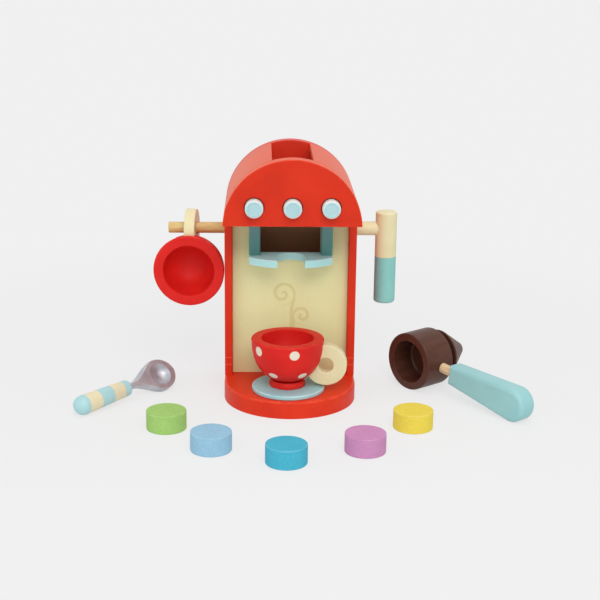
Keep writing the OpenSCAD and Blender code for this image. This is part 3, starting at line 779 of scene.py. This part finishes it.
# ---- Push buttons ----
# Turned caps, lightly dished and paler round their rims, part rubbed paint and part painted highlight, on
# dowels that run through the fascia to a collar. A steel spring in each counterbore holds the cap out.

CAP_BLUE = ((0.45, 0.67, 0.69), (0.39, 0.61, 0.65))
# Cream ring on each cap's rim: part paint rubbed thin, part painted highlight on the rounding.
CAP_RIM_WEAR_AND_HIGHLIGHT = (0.84, 0.82, 0.77)
CAP_RIM_WIDTH = 1.75
CAP_RIM_SHARE = 0.75
CAP_TRIM = 0.35
CAP_ROUNDING = 2.64
CAP_BACK_EASE = 0.4
CAP_DISH = [(0, 0.35), (4.2, 0.3), (4.9, 0.34), (5.4, 0.42), (5.8, 0.12)]
BEECH = ((0.80, 0.60, 0.37), (0.70, 0.48, 0.26), (0.44, 0.26, 0.12))
STEEL_DARK = (0.52, 0.52, 0.53)
STEEL_BRIGHT = (0.66, 0.66, 0.67)
WIRE = 0.8
WIRE_SIDES = 10
COIL_TURNS = 4
COIL_STEPS = COIL_TURNS * 24


def corner(x, y, easing, start, steps=4):
    """Arc that rounds the corner of a profile at x and y, a quarter turn on from its start angle."""
    inwards = easing if start >= 90 else -easing
    up = -easing if start in (0, 90) else easing
    return arc(x + inwards, y + up, easing, start, start + 90, steps)


def close_ends(bm):
    """Caps a piece's open ends and turns its faces outwards."""
    bmesh.ops.holes_fill(bm, edges=[e for e in bm.edges if e.is_boundary])
    bmesh.ops.recalc_face_normals(bm, faces=bm.faces)


def bare_wood(name, wood, along, heart, roughness=0.55, ring=2.6):
    """Sanded bare wood with its grain drawn out along a direction."""
    finish = Finish(name, IOR=1.45)
    tone, fibres, pores = wood_tone(finish, wood, along, heart, ring)
    finish.coat(tone, roughness + 0.1 * fibres)
    finish.bump(fibres - pores * 0.8, 0.4, 0.08)
    return finish.material


# The caps get the cream rim ring: part wear, part painted highlight.
blue_caps = painted(
    "light blue satin, caps",
    CAP_BLUE,
    along=(0, 1, 0),
    marks=lambda finish: [((1 - button_discs(finish, -CAP_RIM_WIDTH, 1.2)) * CAP_RIM_SHARE, CAP_RIM_WEAR_AND_HIGHLIGHT)],
)
natural = bare_wood("natural beech", BEECH, (0, 1, 0), (9, 0, 140))
steel = Finish("bright spring wire", Metallic=1.0)
steel.coat(steel.mix(steel.noise(3), STEEL_DARK, STEEL_BRIGHT), 0.25 + 0.15 * steel.noise(0.6))
for number, button in zip("123", ("button_left", "button_middle", "button_right")):
    cap_node, spring_node = "button_cap_" + number, "button_spring_" + number
    low, high = span(cap_node)
    radius = half_size(cap_node).x - CAP_TRIM
    x, z = middle(cap_node).xz
    cap_length = high.y - low.y
    shoulder = corner(radius, 0, CAP_ROUNDING, -90, 10)
    barrel = [(radius, cap_length - CAP_BACK_EASE), (radius - CAP_BACK_EASE, cap_length), (0, cap_length)]
    cap = turned(CAP_DISH + shoulder + barrel)
    put(cap, move(x, low.y, z), spin(-90, "X"))
    piece("button_cap_turned_" + number, cap, blue_caps, button, "blue_paint", cap_node, wear_and_highlight=0.75)
    dress(natural, "button_stem_" + number, "button_collar_" + number)

    low, high = span(spring_node)
    coil_radius = half_size(spring_node).x - WIRE / 2
    rise = high.y - low.y - WIRE
    coil = bmesh.new()
    wire = bmesh.ops.create_circle(coil, segments=WIRE_SIDES, radius=WIRE / 2)["verts"]
    bmesh.ops.transform(coil, matrix=move(coil_radius, 0, WIRE / 2) @ spin(90, "X"), verts=wire)
    bmesh.ops.spin(
        coil,
        geom=coil.verts[:] + coil.edges[:],
        cent=(0, 0, 0),
        axis=(0, 0, 1),
        dvec=(0, 0, rise / COIL_STEPS),
        angle=math.tau * COIL_TURNS,
        steps=COIL_STEPS,
    )
    close_ends(coil)
    put(coil, move(x, low.y, z), spin(-90, "X"))
    spring = piece("button_coil_" + number, coil, steel.material, "housing", "spring_steel", spring_node)
    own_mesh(spring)


# ---- Hanging rod and inner blocks ----
# A beech dowel, left bare, glued through the left board into a block behind it. A like block on the
# right is the frother's bearing.

ROD_EASE = 0.8
ROD_BEECH = ((0.72, 0.55, 0.25), (0.66, 0.46, 0.16), (0.36, 0.19, 0.06))


def eased_profile(radius, length, easing, steps=4):
    """Profile of a dowel or disc whose edges are rounded at both ends."""
    edges = corner(radius, 0, easing, -90, steps) + corner(radius, length, easing, 0, steps)
    return [(0, 0)] + edges + [(0, length)]


low, high = span("hanging_rod")
rod = turned(eased_profile(rod_radius, high.x - low.x, ROD_EASE), steps=64)
put(rod, move(low.x, rod_y, rod_z), spin(90, "Y"))
rod_heart = (0, rod_y + 14, rod_z - 9)
beech_rod = bare_wood("beech dowel", ROD_BEECH, (1, 0, 0), rod_heart, 0.5, 2.2)
piece("hanging_dowel", rod, beech_rod, "housing", "natural_wood", "hanging_rod")
dress(natural, "rod_block", "axle_block")


# ---- Frother ----
# A turned barrel on a painted axle, cream above and teal below, glued on a tenon at the colour line. It
# swings round on the axle, which a pinned collar keeps in its bearing.

CREAM = ((0.82, 0.765, 0.475), (0.77, 0.705, 0.42))
TEAL = ((0.29, 0.63, 0.585), (0.235, 0.565, 0.525))
# Paler teal on the rounded edges: part paint rubbed thin, part painted highlight.
TEAL_WORN_AND_LIT_EDGE = (0.60, 0.78, 0.75)
BARREL_EASE = 2.5
JOINT_EASE = 0.25

cream_turned = painted("cream satin, turned", CREAM, wear_and_highlight_colour=CREAM_WORN_AND_LIT_EDGE, clouding=22)
teal_turned = painted("teal satin, wand", TEAL, wear_and_highlight_colour=TEAL_WORN_AND_LIT_EDGE, clouding=22)
low, high = span("frother_axle")
axle = turned([(0, 0), (axle_radius, 0), (axle_radius, high.x - low.x), (0, high.x - low.x)], steps=64)
put(axle, move(low.x, rod_y, rod_z), spin(90, "Y"))
piece("frother_cross_axle", axle, cream_turned, "frother", "cream_paint", "frother_axle")
low, high = span("frother_head")
joint_z = low.z
barrel_x, barrel_radius = middle("frother_head").x, half_size("frother_head").x
head = turned(
    [(0, low.z), (barrel_radius - JOINT_EASE, low.z), (barrel_radius, low.z + JOINT_EASE)]
    + corner(barrel_radius, high.z, BARREL_EASE, 0, 8)
    + [(0, high.z)]
)
put(head, move(barrel_x, rod_y, 0))
piece("frother_cream_head", head, cream_turned, "frother", "cream_paint", "frother_head", wear_and_highlight=0.5)
low, high = span("frother_wand")
wand = turned(
    [(0, low.z)]
    + corner(barrel_radius, low.z, BARREL_EASE, -90, 8)
    + [(barrel_radius, joint_z - JOINT_EASE), (barrel_radius - JOINT_EASE, joint_z), (0, joint_z)]
)
put(wand, move(barrel_x, rod_y, 0))
piece("frother_teal_wand", wand, teal_turned, "frother", "teal_paint", "frother_wand", wear_and_highlight=0.5)
dress(natural, "frother_collar", "frother_pin")


# ---- Saucer ----
# A thin turned disc in light blue, loose on the base, its edge much paler: part paint rubbed thin, part
# painted highlight.

SAUCER_EASE = 1.2
# Near-white on the saucer's edge: part paint rubbed thin, part painted highlight.
SAUCER_WORN_AND_LIT_EDGE = (0.86, 0.88, 0.86)


def underfoot(node):
    """Moves a piece turned on the origin to the middle of a solid's underside."""
    return move(*middle(node).xy, span(node)[0].z)


def disc(node, easing, steps=4):
    """Turns a solid's disc with rounded edges and puts it in its place."""
    half = half_size(node)
    return put(turned(eased_profile(half.x, 2 * half.z, easing, steps)), underfoot(node))


blue_saucer = painted(
    "light blue satin, saucer", BLUE, along=(1, 0, 0), wear_and_highlight_colour=SAUCER_WORN_AND_LIT_EDGE, wear_and_highlight_share=0.35
)
piece(
    "turned_saucer", disc("saucer", SAUCER_EASE, 5), blue_saucer, "saucer", "blue_paint", "saucer", wear_and_highlight=0.6
)


# ---- Cups ----
# Two turned cups in deep red with cream spots, each with a ring handle cut to fit the bowl and glued on.
# One stands on the saucer, the other hangs by its ring from the dowel.

CUP_RADIUS = 36.8
CUP_HEIGHT = 50
CUP_CURVE = 2.4
WALL_INSET = 0.4
WALL_TUCK = 0.7
WALL_END = 80
CAVITY_RADIUS = 26.5
CAVITY_DEPTH = 31
CAVITY_CURVE = 2.2
CAVITY_FLARE = 0.6
FOOT_RADIUS = 18.3
FOOT_HEIGHT = 4.6
FOOT_EASE = 1
FOOT_TOP_EASE = 1.2
NECK_HEIGHT = 6.2
NECK_INSET = 1.8
RIM_EASE = 1.6
RING_OUT = 38.9
RING_UP = 23.5
RING_RADIUS = 21.25
RING_HOLE = 7.75
RING_THICK = 11
RING_EASE = 1.2
CUP_YAW = -6
HANG_YAW = 5.4
HANG_ROLL = 0.2
HANG_ROOM = 0.6
HANG_LIFT = 0.3
CUP_RED = ((0.78, 0.020, 0.014), (0.66, 0.013, 0.010))
# Paler red on the cups' roundings: part paint rubbed thin, part painted highlight.
CUP_WORN_AND_LIT_EDGE = (0.80, 0.06, 0.04)
SPOT = (0.84, 0.77, 0.62)
SPOT_RADIUS = 5.0
SPOT_SPACING = 64
# Each row's height, the angle of its first spot, the slope of the wall there and the last angle it reaches.
SPOT_ROWS = ((42.0, 30, 0.97, 319), (17.4, 52, 0.62, 361))
WALL_LEAN = 0.27
WALL_START = 16.8


def full_curve(radius, depth, top, power, end, steps=28):
    """Points of a full-bodied bowl curve, from its rim down to an angle."""
    angles = [math.radians(end * i / steps) for i in range(steps + 1)]
    bends = [(max(math.cos(a), 0) ** (2 / power), max(math.sin(a), 0) ** (2 / power)) for a in angles]
    return [(radius * out, top - depth * down) for out, down in bends]


def cup_outside():
    """Profile of a cup from the middle of its foot up to the top of its rim."""
    depth = CUP_HEIGHT - NECK_HEIGHT + WALL_TUCK
    wall = full_curve(CUP_RADIUS - WALL_INSET, depth, CUP_HEIGHT, CUP_CURVE, WALL_END)
    wall = [(r, z) for r, z in wall if z < CUP_HEIGHT - RIM_EASE]
    return (
        [(0, 0)]
        + corner(FOOT_RADIUS, 0, FOOT_EASE, -90)
        + arc(FOOT_RADIUS - FOOT_TOP_EASE, FOOT_HEIGHT - FOOT_TOP_EASE, FOOT_TOP_EASE, 0, 80, 4)
        + [(FOOT_RADIUS - NECK_INSET, NECK_HEIGHT)]
        + wall[::-1]
        + corner(CUP_RADIUS, CUP_HEIGHT, RIM_EASE, 0, 6)
    )


def cup_inside():
    """Profile of a cup's cavity from its rim down to the middle of its floor."""
    rim = [(CAVITY_RADIUS + CAVITY_FLARE, CUP_HEIGHT)]
    return rim + full_curve(CAVITY_RADIUS, CAVITY_DEPTH, CUP_HEIGHT - CAVITY_FLARE, CAVITY_CURVE, 90)


def spots(finish, place_in_cup):
    """Mask of cream spots in two rows round a cup's outside, in the cup's own axes."""
    x, y, z = finish.split(place_in_cup)
    radius = x.hypot(y)
    around = (y.math("ARCTAN2", x) * (180 / math.pi)).math("WRAP", 360, 0)
    rows = 0
    for height, first, slope, last in SPOT_ROWS:
        turn = (around - first).math("WRAP", SPOT_SPACING / 2, -SPOT_SPACING / 2)
        aside = turn * (math.pi / 180) * radius
        up = (z - height * MM) / slope
        rows = aside.hypot(up).within(SPOT_RADIUS, 0.5) * (1 - around.clip(last - 1, last + 1)) + rows
    outer_wall = (radius - z * WALL_LEAN).clip(WALL_START * MM, (WALL_START + 0.5) * MM)
    return rows * outer_wall


def cup_paint(name, stance):
    """Deep red for a cup with its spots, laid out from where the cup stands."""
    into_cup = stance.inverted()
    finish = Finish(name, IOR=1.47, Specular_IOR_Level=0.22)
    sockets = {
        "Vector": finish.here(),
        "Location": into_cup.to_translation() * MM,
        "Rotation": into_cup.to_euler(),
    }
    place = finish.node("ShaderNodeMapping", sockets)
    clouds = finish.noise(30, 3, place=place)
    grain = finish.noise(1.2, 3, 0.6)
    film = finish.film(CUP_RED, clouds, grain)
    patches = finish.noise(8, place=place).clip(0.4, 0.62)
    # Paler red on the roundings: part rubbed film, part painted highlight.
    film = finish.mix(finish.wear_and_highlight() * patches * 0.35, film, CUP_WORN_AND_LIT_EDGE)
    dots = spots(finish, place)
    finish.coat(finish.mix(dots, film, SPOT), 0.47 + 0.06 * clouds)
    finish.bump(grain + dots * 0.8, 0.3, 0.07)
    return finish.material


on_saucer = underfoot("cup_bowl") @ spin(CUP_YAW, "Z")
turned_out = (CUP_HEIGHT - RING_UP) * math.sin(math.radians(HANG_YAW))
hang_x = -half_width - HANG_ROOM - CUP_RADIUS + turned_out
hang_z = rod_z - (RING_HOLE - rod_radius) + HANG_LIFT
on_rod = (
    move(hang_x, rod_y, hang_z)
    @ spin(-HANG_YAW, "Z")
    @ spin(-HANG_ROLL, "X")
    @ spin(90, "Z")
    @ spin(-90, "Y")
    @ move(-RING_OUT, 0, -RING_UP)
)
ring_profile = corner(RING_RADIUS, 0, RING_EASE, -90) + corner(RING_RADIUS, RING_THICK, RING_EASE, 0)
ring_profile += corner(RING_HOLE, RING_THICK, RING_EASE, 90) + corner(RING_HOLE, 0, RING_EASE, 180)
for kept, body, stance in (("", "cup", on_saucer), ("hanging_", "hanging_cup", on_rod)):
    paint = cup_paint(kept + "spotted cup red", stance)
    bowl = put(turned(cup_outside() + cup_inside(), steps=128), stance)
    piece(kept + "cup_turned_bowl", bowl, paint, body, "cup_red", kept + "cup_bowl", wear_and_highlight=0.8)
    ring = put(turned(ring_profile, closed=True), move(RING_OUT, RING_THICK / 2, RING_UP), spin(90, "X"))
    ring = put(cut(ring, turned(cup_outside() + [(0, CUP_HEIGHT)], steps=128)), stance)
    piece(kept + "cup_ring_handle", ring, cream_turned, body, "cream_paint", kept + "cup_handle", wear_and_highlight=0.6)


# ---- Filter holder ----
# A turned cup in dark brown stain, bored for one pod, with a neck and a pointed nozzle. Its paddle
# handle sits on a beech dowel, glued into both.

FILTER_AT = (125.3, 16.4)
FILTER_YAW = 38
FILTER_RADIUS = 30.5
FILTER_EASE = 1.5
FILTER_BORE = 22.4
FILTER_BORE_DEPTH = 27
BORE_EDGE_EASE = 0.5
BORE_FLOOR_EASE = 3
FILTER_BODY = 36.5
FILTER_NECK = 13
GROOVE = 9
NOZZLE_RADIUS = 26
NOZZLE_LENGTH = 32.5
NOZZLE_TIP = 12.5
DOWEL_DOWN = 21.5
DOWEL_RADIUS = 5.25
DOWEL_SHOWN = 16.5
DOWEL_IN_CUP = 6
DOWEL_IN_PADDLE = 20
DOWEL_BEECH = ((0.84, 0.64, 0.40), (0.74, 0.52, 0.29), (0.45, 0.27, 0.12))
PADDLE_LENGTH = 102
PADDLE_NEAR = 20.5
PADDLE_FAR = 34.5
PADDLE_THICK = 21
PADDLE_EASE = 4.6
PADDLE_BLUE = ((0.345, 0.635, 0.645), (0.305, 0.585, 0.60))
STAIN = ((0.100, 0.036, 0.022), (0.080, 0.026, 0.014), (0.050, 0.016, 0.010))


def direction(stance, way):
    """Where a direction on the maker's bench points once a piece is in its place."""
    return stance.to_3x3() @ Vector(way)


paddle_x = FILTER_RADIUS + DOWEL_SHOWN
paddle_end = PADDLE_LENGTH - PADDLE_FAR / 2
filter_drop = math.degrees(math.asin((FILTER_RADIUS - PADDLE_FAR / 2) / (paddle_x + paddle_end)))
lying = (
    move(*FILTER_AT, FILTER_RADIUS)
    @ spin(FILTER_YAW, "Z")
    @ spin(filter_drop, "X")
    @ spin(90, "Y")
    @ spin(-90, "Z")
)
filter_axis = direction(lying, (0, 0, 1))
filter_heart = lying @ Vector((-6, 4, 0))
stain = Finish("dark brown stain under lacquer", IOR=1.5, Coat_Roughness=0.2, Specular_IOR_Level=0.2)
tone, fibres, pores = wood_tone(stain, STAIN, filter_axis, filter_heart, 2.4)
stain.coat(tone, 0.42 + 0.12 * fibres)
stain.set("Coat Weight", 0.06 + 0.1 * fibres)
stain.bump(fibres - pores * 0.7, 0.35, 0.07)

nozzle_z = FILTER_BODY + GROOVE
nozzle_end = nozzle_z + NOZZLE_LENGTH
slope = math.degrees(math.atan((NOZZLE_RADIUS - NOZZLE_TIP) / (NOZZLE_LENGTH - NOZZLE_TIP)))
filter_cup = turned(
    [(0, FILTER_BORE_DEPTH)]
    + corner(FILTER_BORE, FILTER_BORE_DEPTH, BORE_FLOOR_EASE, 0, 6)[::-1]
    + corner(FILTER_BORE, 0, BORE_EDGE_EASE, 180, 3)
    + corner(FILTER_RADIUS, 0, FILTER_EASE, -90, 5)
    + corner(FILTER_RADIUS, FILTER_BODY, FILTER_EASE, 0, 5)
    + [(FILTER_NECK, FILTER_BODY), (FILTER_NECK, nozzle_z)]
    + corner(NOZZLE_RADIUS, nozzle_z, FILTER_EASE, -90, 5)
    + arc(0, nozzle_end - NOZZLE_TIP, NOZZLE_TIP, 90 - slope, 90, 14),
    steps=128,
)
put(filter_cup, lying)
piece("stained_filter_cup", filter_cup, stain.material, "filter_holder", "brown_stain", "filter_cup")

dowel_start, dowel_end = FILTER_RADIUS - DOWEL_IN_CUP, paddle_x + DOWEL_IN_PADDLE
dowel_profile = [(0, dowel_start), (DOWEL_RADIUS, dowel_start), (DOWEL_RADIUS, dowel_end), (0, dowel_end)]
dowel = put(turned(dowel_profile, steps=48), lying, move(0, 0, DOWEL_DOWN), spin(90, "Y"))
handle_axis = direction(lying, (1, 0, 0))
dowel_heart = lying @ Vector((0, 8, DOWEL_DOWN + 5))
dowel_wood = bare_wood("beech dowel, filter handle", DOWEL_BEECH, handle_axis, dowel_heart, 0.5, 2.0)
piece("filter_beech_dowel", dowel, dowel_wood, "filter_holder", "natural_wood", "filter_dowel")

lean = math.degrees(math.asin((PADDLE_FAR - PADDLE_NEAR) / 2 / paddle_end))
paddle_outline = [(0, PADDLE_NEAR / 2), (0, -PADDLE_NEAR / 2)]
paddle_outline += arc(paddle_end, 0, PADDLE_FAR / 2, -90 - lean, 90 + lean, 48)
paddle = board(paddle_outline, DOWEL_DOWN - PADDLE_THICK / 2, DOWEL_DOWN + PADDLE_THICK / 2, "z")
level_edges = [e for e in sharp_edges(paddle) if abs(e.verts[0].co.z - e.verts[1].co.z) < NEAR]
ease(paddle, PADDLE_EASE, level_edges, 6)
put(paddle, lying, move(paddle_x, 0, 0))
blue_paddle = painted(
    "light blue satin, paddle", PADDLE_BLUE, along=handle_axis, wear_and_highlight_colour=BLUE_WORN_AND_LIT_EDGE, roughness=0.38
)
piece("paddle_handle", paddle, blue_paddle, "filter_holder", "teal_paint", "filter_handle", wear_and_highlight=0.9)


# ---- Spoon ----
# A pear-shaped wooden bowl in mauve silver paint on a turned handle with painted bands. The bowl's neck
# is a tenon in the handle.

SPOON_AT = (-206.4, -60.2)
SPOON_YAW = 47
SPOON_ROLL = 48
BUTT_RADIUS = 10
FRONT_RADIUS = 8.4
FRONT_EASE = 3
HANDLE_LENGTH = 69
SPOON_NECK = 3.2
NECK_EASE_SHARE = 0.9
FLARE_START = 2
FLARE_END = 42
BRIM_EASE = 1.2
BOWL_OUT = 43
BOWL_TIP = 19
BOWL_HALF = 17.2
BOWL_TOP = 3
BOWL_KEEL = 9
BOWL_DOME = 34
BOWL_STATIONS = 24
TIP_STATIONS = (8, 16, 24, 32, 40, 48, 56, 64, 71, 77, 82, 86)
HOLLOW_RADIUS = 14.5
HOLLOW_DEPTH = 7
MAUVE = ((0.555, 0.58, 0.615), (0.40, 0.415, 0.445))
BAND_BLUE = (0.42, 0.70, 0.73)
BAND_CREAM = (0.83, 0.75, 0.50)
BAND_SOIL = (0.25, 0.25, 0.22)
BANDS = ((0.185, BAND_CREAM), (0.415, BLUE[0]), (0.655, BAND_CREAM), (0.865, BAND_BLUE))

bowl_x = HANDLE_LENGTH + BOWL_OUT - BUTT_RADIUS
edge_drop = math.sqrt(BOWL_DOME**2 - BOWL_HALF**2) - BOWL_DOME + BOWL_KEEL
roll = math.radians(SPOON_ROLL)
bowl_low = BOWL_HALF * math.sin(roll) + edge_drop * math.cos(roll) + 0.03
spoon_rise = math.degrees(
    math.atan(bowl_low / bowl_x) - math.asin((BUTT_RADIUS - 0.01) / math.hypot(bowl_x, bowl_low))
)
spoon_down = (
    move(*SPOON_AT, BUTT_RADIUS)
    @ spin(SPOON_YAW, "Z")
    @ spin(-spoon_rise, "Y")
    @ spin(SPOON_ROLL, "X")
    @ move(-BUTT_RADIUS, 0, 0)
)
spoon_axis = direction(spoon_down, (1, 0, 0))
mauve = Finish("mauve silver paint", Metallic=0.6, IOR=1.45)
sparkle = mauve.noise(0.5)
clouds = mauve.noise(16, 3)
drawn = mauve.noise(1.4, place=mauve.place(along=spoon_axis, stretch=10))
mauve.coat(mauve.film(MAUVE, clouds, sparkle), 0.30 + 0.14 * sparkle + 0.06 * clouds)
mauve.bump(drawn + sparkle * 0.6, 0.35, 0.06)


def flare(x):
    """How far the neck has widened into the bowl, from 0 to 1."""
    share = min(max((x - FLARE_START) / (FLARE_END - FLARE_START), 0), 1)
    return share * share * (3 - 2 * share)


def bowl_half_width(x):
    """Half width of the spoon's head at a distance from the handle."""
    if x < BOWL_OUT:
        return SPOON_NECK + (BOWL_HALF - SPOON_NECK) * flare(x)
    return BOWL_HALF * math.sqrt(max(1 - ((x - BOWL_OUT) / BOWL_TIP) ** 2, 0))


def underside(x, y):
    """Height of the head's underside at a point: a dome, and a keel from it that rises to the neck."""
    keel_rise = math.atan((BOWL_KEEL - SPOON_NECK) / BOWL_OUT)
    centre = BOWL_DOME - BOWL_KEEL
    down = math.sqrt(BOWL_DOME**2 - y * y)
    if x < BOWL_OUT - down * math.sin(keel_rise):
        return centre + (BOWL_OUT - x) * math.tan(keel_rise) - down / math.cos(keel_rise)
    return centre - math.sqrt(BOWL_DOME**2 - (x - BOWL_OUT) ** 2 - y * y)


def spoon_section(x, steps=12):
    """Closed section of the solid head, round at the neck, with its upper edges eased."""
    half = bowl_half_width(x)
    bowl_share = flare(x)
    top = SPOON_NECK + (BOWL_TOP - SPOON_NECK) * bowl_share
    round_ease = NECK_EASE_SHARE * half
    top_ease = min(BRIM_EASE * bowl_share + round_ease * (1 - bowl_share), round_ease)
    under = []
    for angle in (math.pi / 2 * i / steps for i in range(-steps, steps + 1)):
        y = half * math.sin(angle)
        neck = -SPOON_NECK * math.cos(angle)
        under.append((y, neck + (underside(x, y) - neck) * bowl_share))
    brim = corner(half, top, top_ease, 0) + corner(-half, top, top_ease, 90)
    return [(x, y, z) for y, z in under + brim]


head = bmesh.new()
stations = [BOWL_OUT * i / BOWL_STATIONS for i in range(BOWL_STATIONS + 1)]
stations += [BOWL_OUT + BOWL_TIP * math.sin(math.radians(a)) for a in TIP_STATIONS]
rings = []
for x in stations:
    verts = [head.verts.new(point) for point in spoon_section(x)]
    rings.append([head.edges.new(pair) for pair in zip(verts, verts[1:] + verts[:1])])
for first, second in zip(rings, rings[1:]):
    bmesh.ops.bridge_loops(head, edges=first + second)
close_ends(head)
hollow = bmesh.new()
bmesh.ops.create_uvsphere(hollow, u_segments=96, v_segments=64, radius=HOLLOW_RADIUS)
put(hollow, move(BOWL_OUT, 0, BOWL_TOP - HOLLOW_DEPTH + HOLLOW_RADIUS))
head = cut(head, hollow)
put(head, spoon_down, move(HANDLE_LENGTH, 0, 0))
piece("spoon_bowl", head, mauve.material, "spoon", "spoon_paint", "spoon_head")

banded = Finish("banded spoon handle", IOR=1.47)
along_handle = banded.node(
    "ShaderNodeVectorMath", {0: banded.here(), 1: spoon_axis}, 1, operation="DOT_PRODUCT"
)
start = spoon_down.translation.dot(spoon_axis)
share = (along_handle - start * MM) / (HANDLE_LENGTH * MM)
wander = banded.noise(4) * 0.03 - 0.01
film = BAND_BLUE
grooves = 0
for begin, colour in BANDS:
    film = banded.mix((share + wander).clip(begin - 0.006, begin + 0.014), film, colour)
    grooves = (1 - (share - begin).math("ABSOLUTE").clip(0.002, 0.007)) + grooves
clouds = banded.noise(20, 3)
fibres = banded.noise(1.1, 3, place=banded.place(along=spoon_axis, stretch=12))
banded.coat(banded.mix(clouds.clip(0.35, 0.8) * 0.12, film, BAND_SOIL), 0.38 + 0.08 * clouds)
banded.bump(fibres * 0.5 - grooves, 0.4, 0.08)
slim = math.degrees(math.atan((BUTT_RADIUS - FRONT_RADIUS) / HANDLE_LENGTH))
handle = turned(
    [(0, 0)]
    + arc(0, BUTT_RADIUS, BUTT_RADIUS - 0.02, -90, -slim, 16)[1:]
    + corner(FRONT_RADIUS, HANDLE_LENGTH, FRONT_EASE, 0, 6)
    + [(0, HANDLE_LENGTH)],
    steps=64,
)
put(handle, spoon_down, spin(90, "Y"))
piece("spoon_banded_handle", handle, banded.material, "spoon", "spoon_bands", "spoon_handle")


# ---- Coffee pods ----
# Five turned discs, each dipped in its own matt colour. The film is a little mottled, like felt.

POD_EASE = 0.8
# Share of near-white on the pods' roundings: part paint rubbed thin, part painted highlight.
POD_WORN_AND_LIT_EDGE = 0.4
POD_COLOURS = {
    "green": ((0.40, 0.64, 0.185), (0.33, 0.56, 0.15)),
    "sky": ((0.34, 0.585, 0.745), (0.28, 0.51, 0.68)),
    "blue": ((0.075, 0.475, 0.63), (0.055, 0.41, 0.56)),
    "pink": ((0.62, 0.29, 0.52), (0.55, 0.24, 0.45)),
    "yellow": ((0.86, 0.70, 0.095), (0.79, 0.62, 0.07)),
}
for colour, colours in POD_COLOURS.items():
    matt = Finish("matt pod, " + colour, IOR=1.4, Specular_IOR_Level=0.35)
    mottle = matt.noise(2.2, 3, 0.6)
    clouds = matt.noise(15)
    film = matt.film(colours, mottle, clouds)
    pale = tuple((1 - POD_WORN_AND_LIT_EDGE) * part + POD_WORN_AND_LIT_EDGE * 0.9 for part in colours[0])
    # The roundings go paler: part rubbed film, part painted highlight.
    matt.coat(matt.mix(matt.wear_and_highlight() * clouds.clip(0.3, 0.7) * 0.35, film, pale), 0.72 + 0.1 * mottle)
    matt.bump(mottle, 0.35, 0.07)
    pod = "pod_" + colour
    piece("coffee_" + pod, disc(pod, POD_EASE), matt.material, pod, pod, pod, wear_and_highlight=0.5)


# ---- Floor, backdrop and light ----
# A wide sheet of pale paper under the toy, a broad soft light over its front with a weak one on its left
# and one overhead, in a white room.

PAPER = 0.871
PAPER_FILM = (0.86, 0.86, 0.86, 1)
SHADOW_KEPT = 0.22
SHADOW_NEAR = 0.30
SHADOW_FAR = 0.75
FLOOR_HALF = 40.0
ROOM_ON_THINGS = 0.60
TOY_MIDDLE = (0, 0, 0.1)


def softbox(name, at, target, width, height, watts):
    """A broad soft light, square on to its target."""
    light = bpy.data.lights.new(name, "AREA")
    light.shape = "RECTANGLE"
    light.size, light.size_y = width, height
    light.energy = watts
    box = add(name, light)
    box.location = at
    box.rotation_euler = (Vector(target) - Vector(at)).to_track_quat("-Z", "Y").to_euler()


paper = Finish("pale paper", Base_Color=PAPER_FILM, Roughness=0.9, Specular_IOR_Level=0.0)
reach = paper.place().length()
rays = paper.node("ShaderNodeLightPath")
seen = rays.output("Is Camera Ray") + rays.output("Is Glossy Ray")
even = seen * (1 - SHADOW_KEPT * (1 - reach.clip(SHADOW_NEAR, SHADOW_FAR)))
glow = paper.node("ShaderNodeEmission", {"Color": (PAPER, PAPER, PAPER, 1)})
film = Link(paper, paper.shader.outputs[0])
surface = paper.node("ShaderNodeMixShader", {0: even, 1: film, 2: glow})
paper.feed(paper.tree.nodes["Material Output"].inputs["Surface"], surface)

floor = bmesh.new()
bmesh.ops.create_grid(floor, x_segments=1, y_segments=1, size=FLOOR_HALF)
paper_floor = solid("paper_floor", floor)
paper_floor.data.materials.append(paper.material)

bpy.context.scene.world = bpy.data.worlds.new("white room")
room = Nodes(bpy.context.scene.world)
rays = room.node("ShaderNodeLightPath")
on_things = rays.output("Is Diffuse Ray") * (ROOM_ON_THINGS - 1)
on_camera = rays.output("Is Camera Ray") * (PAPER - 1)
sky = room.tree.nodes["Background"]
sky.inputs["Color"].default_value = (1, 1, 1, 1)
room.feed(sky.inputs["Strength"], 1 + on_things + on_camera)

softbox("key light", (0.2, -1.65, 1.5), TOY_MIDDLE, 1.3, 0.9, 17.5)
softbox("fill light", (-1.5, -1.3, 0.8), TOY_MIDDLE, 1.2, 1.0, 3)
softbox("overhead light", (0.2, -0.2, 2.2), (0, -0.05, 0.1), 1.4, 1.4, 8)
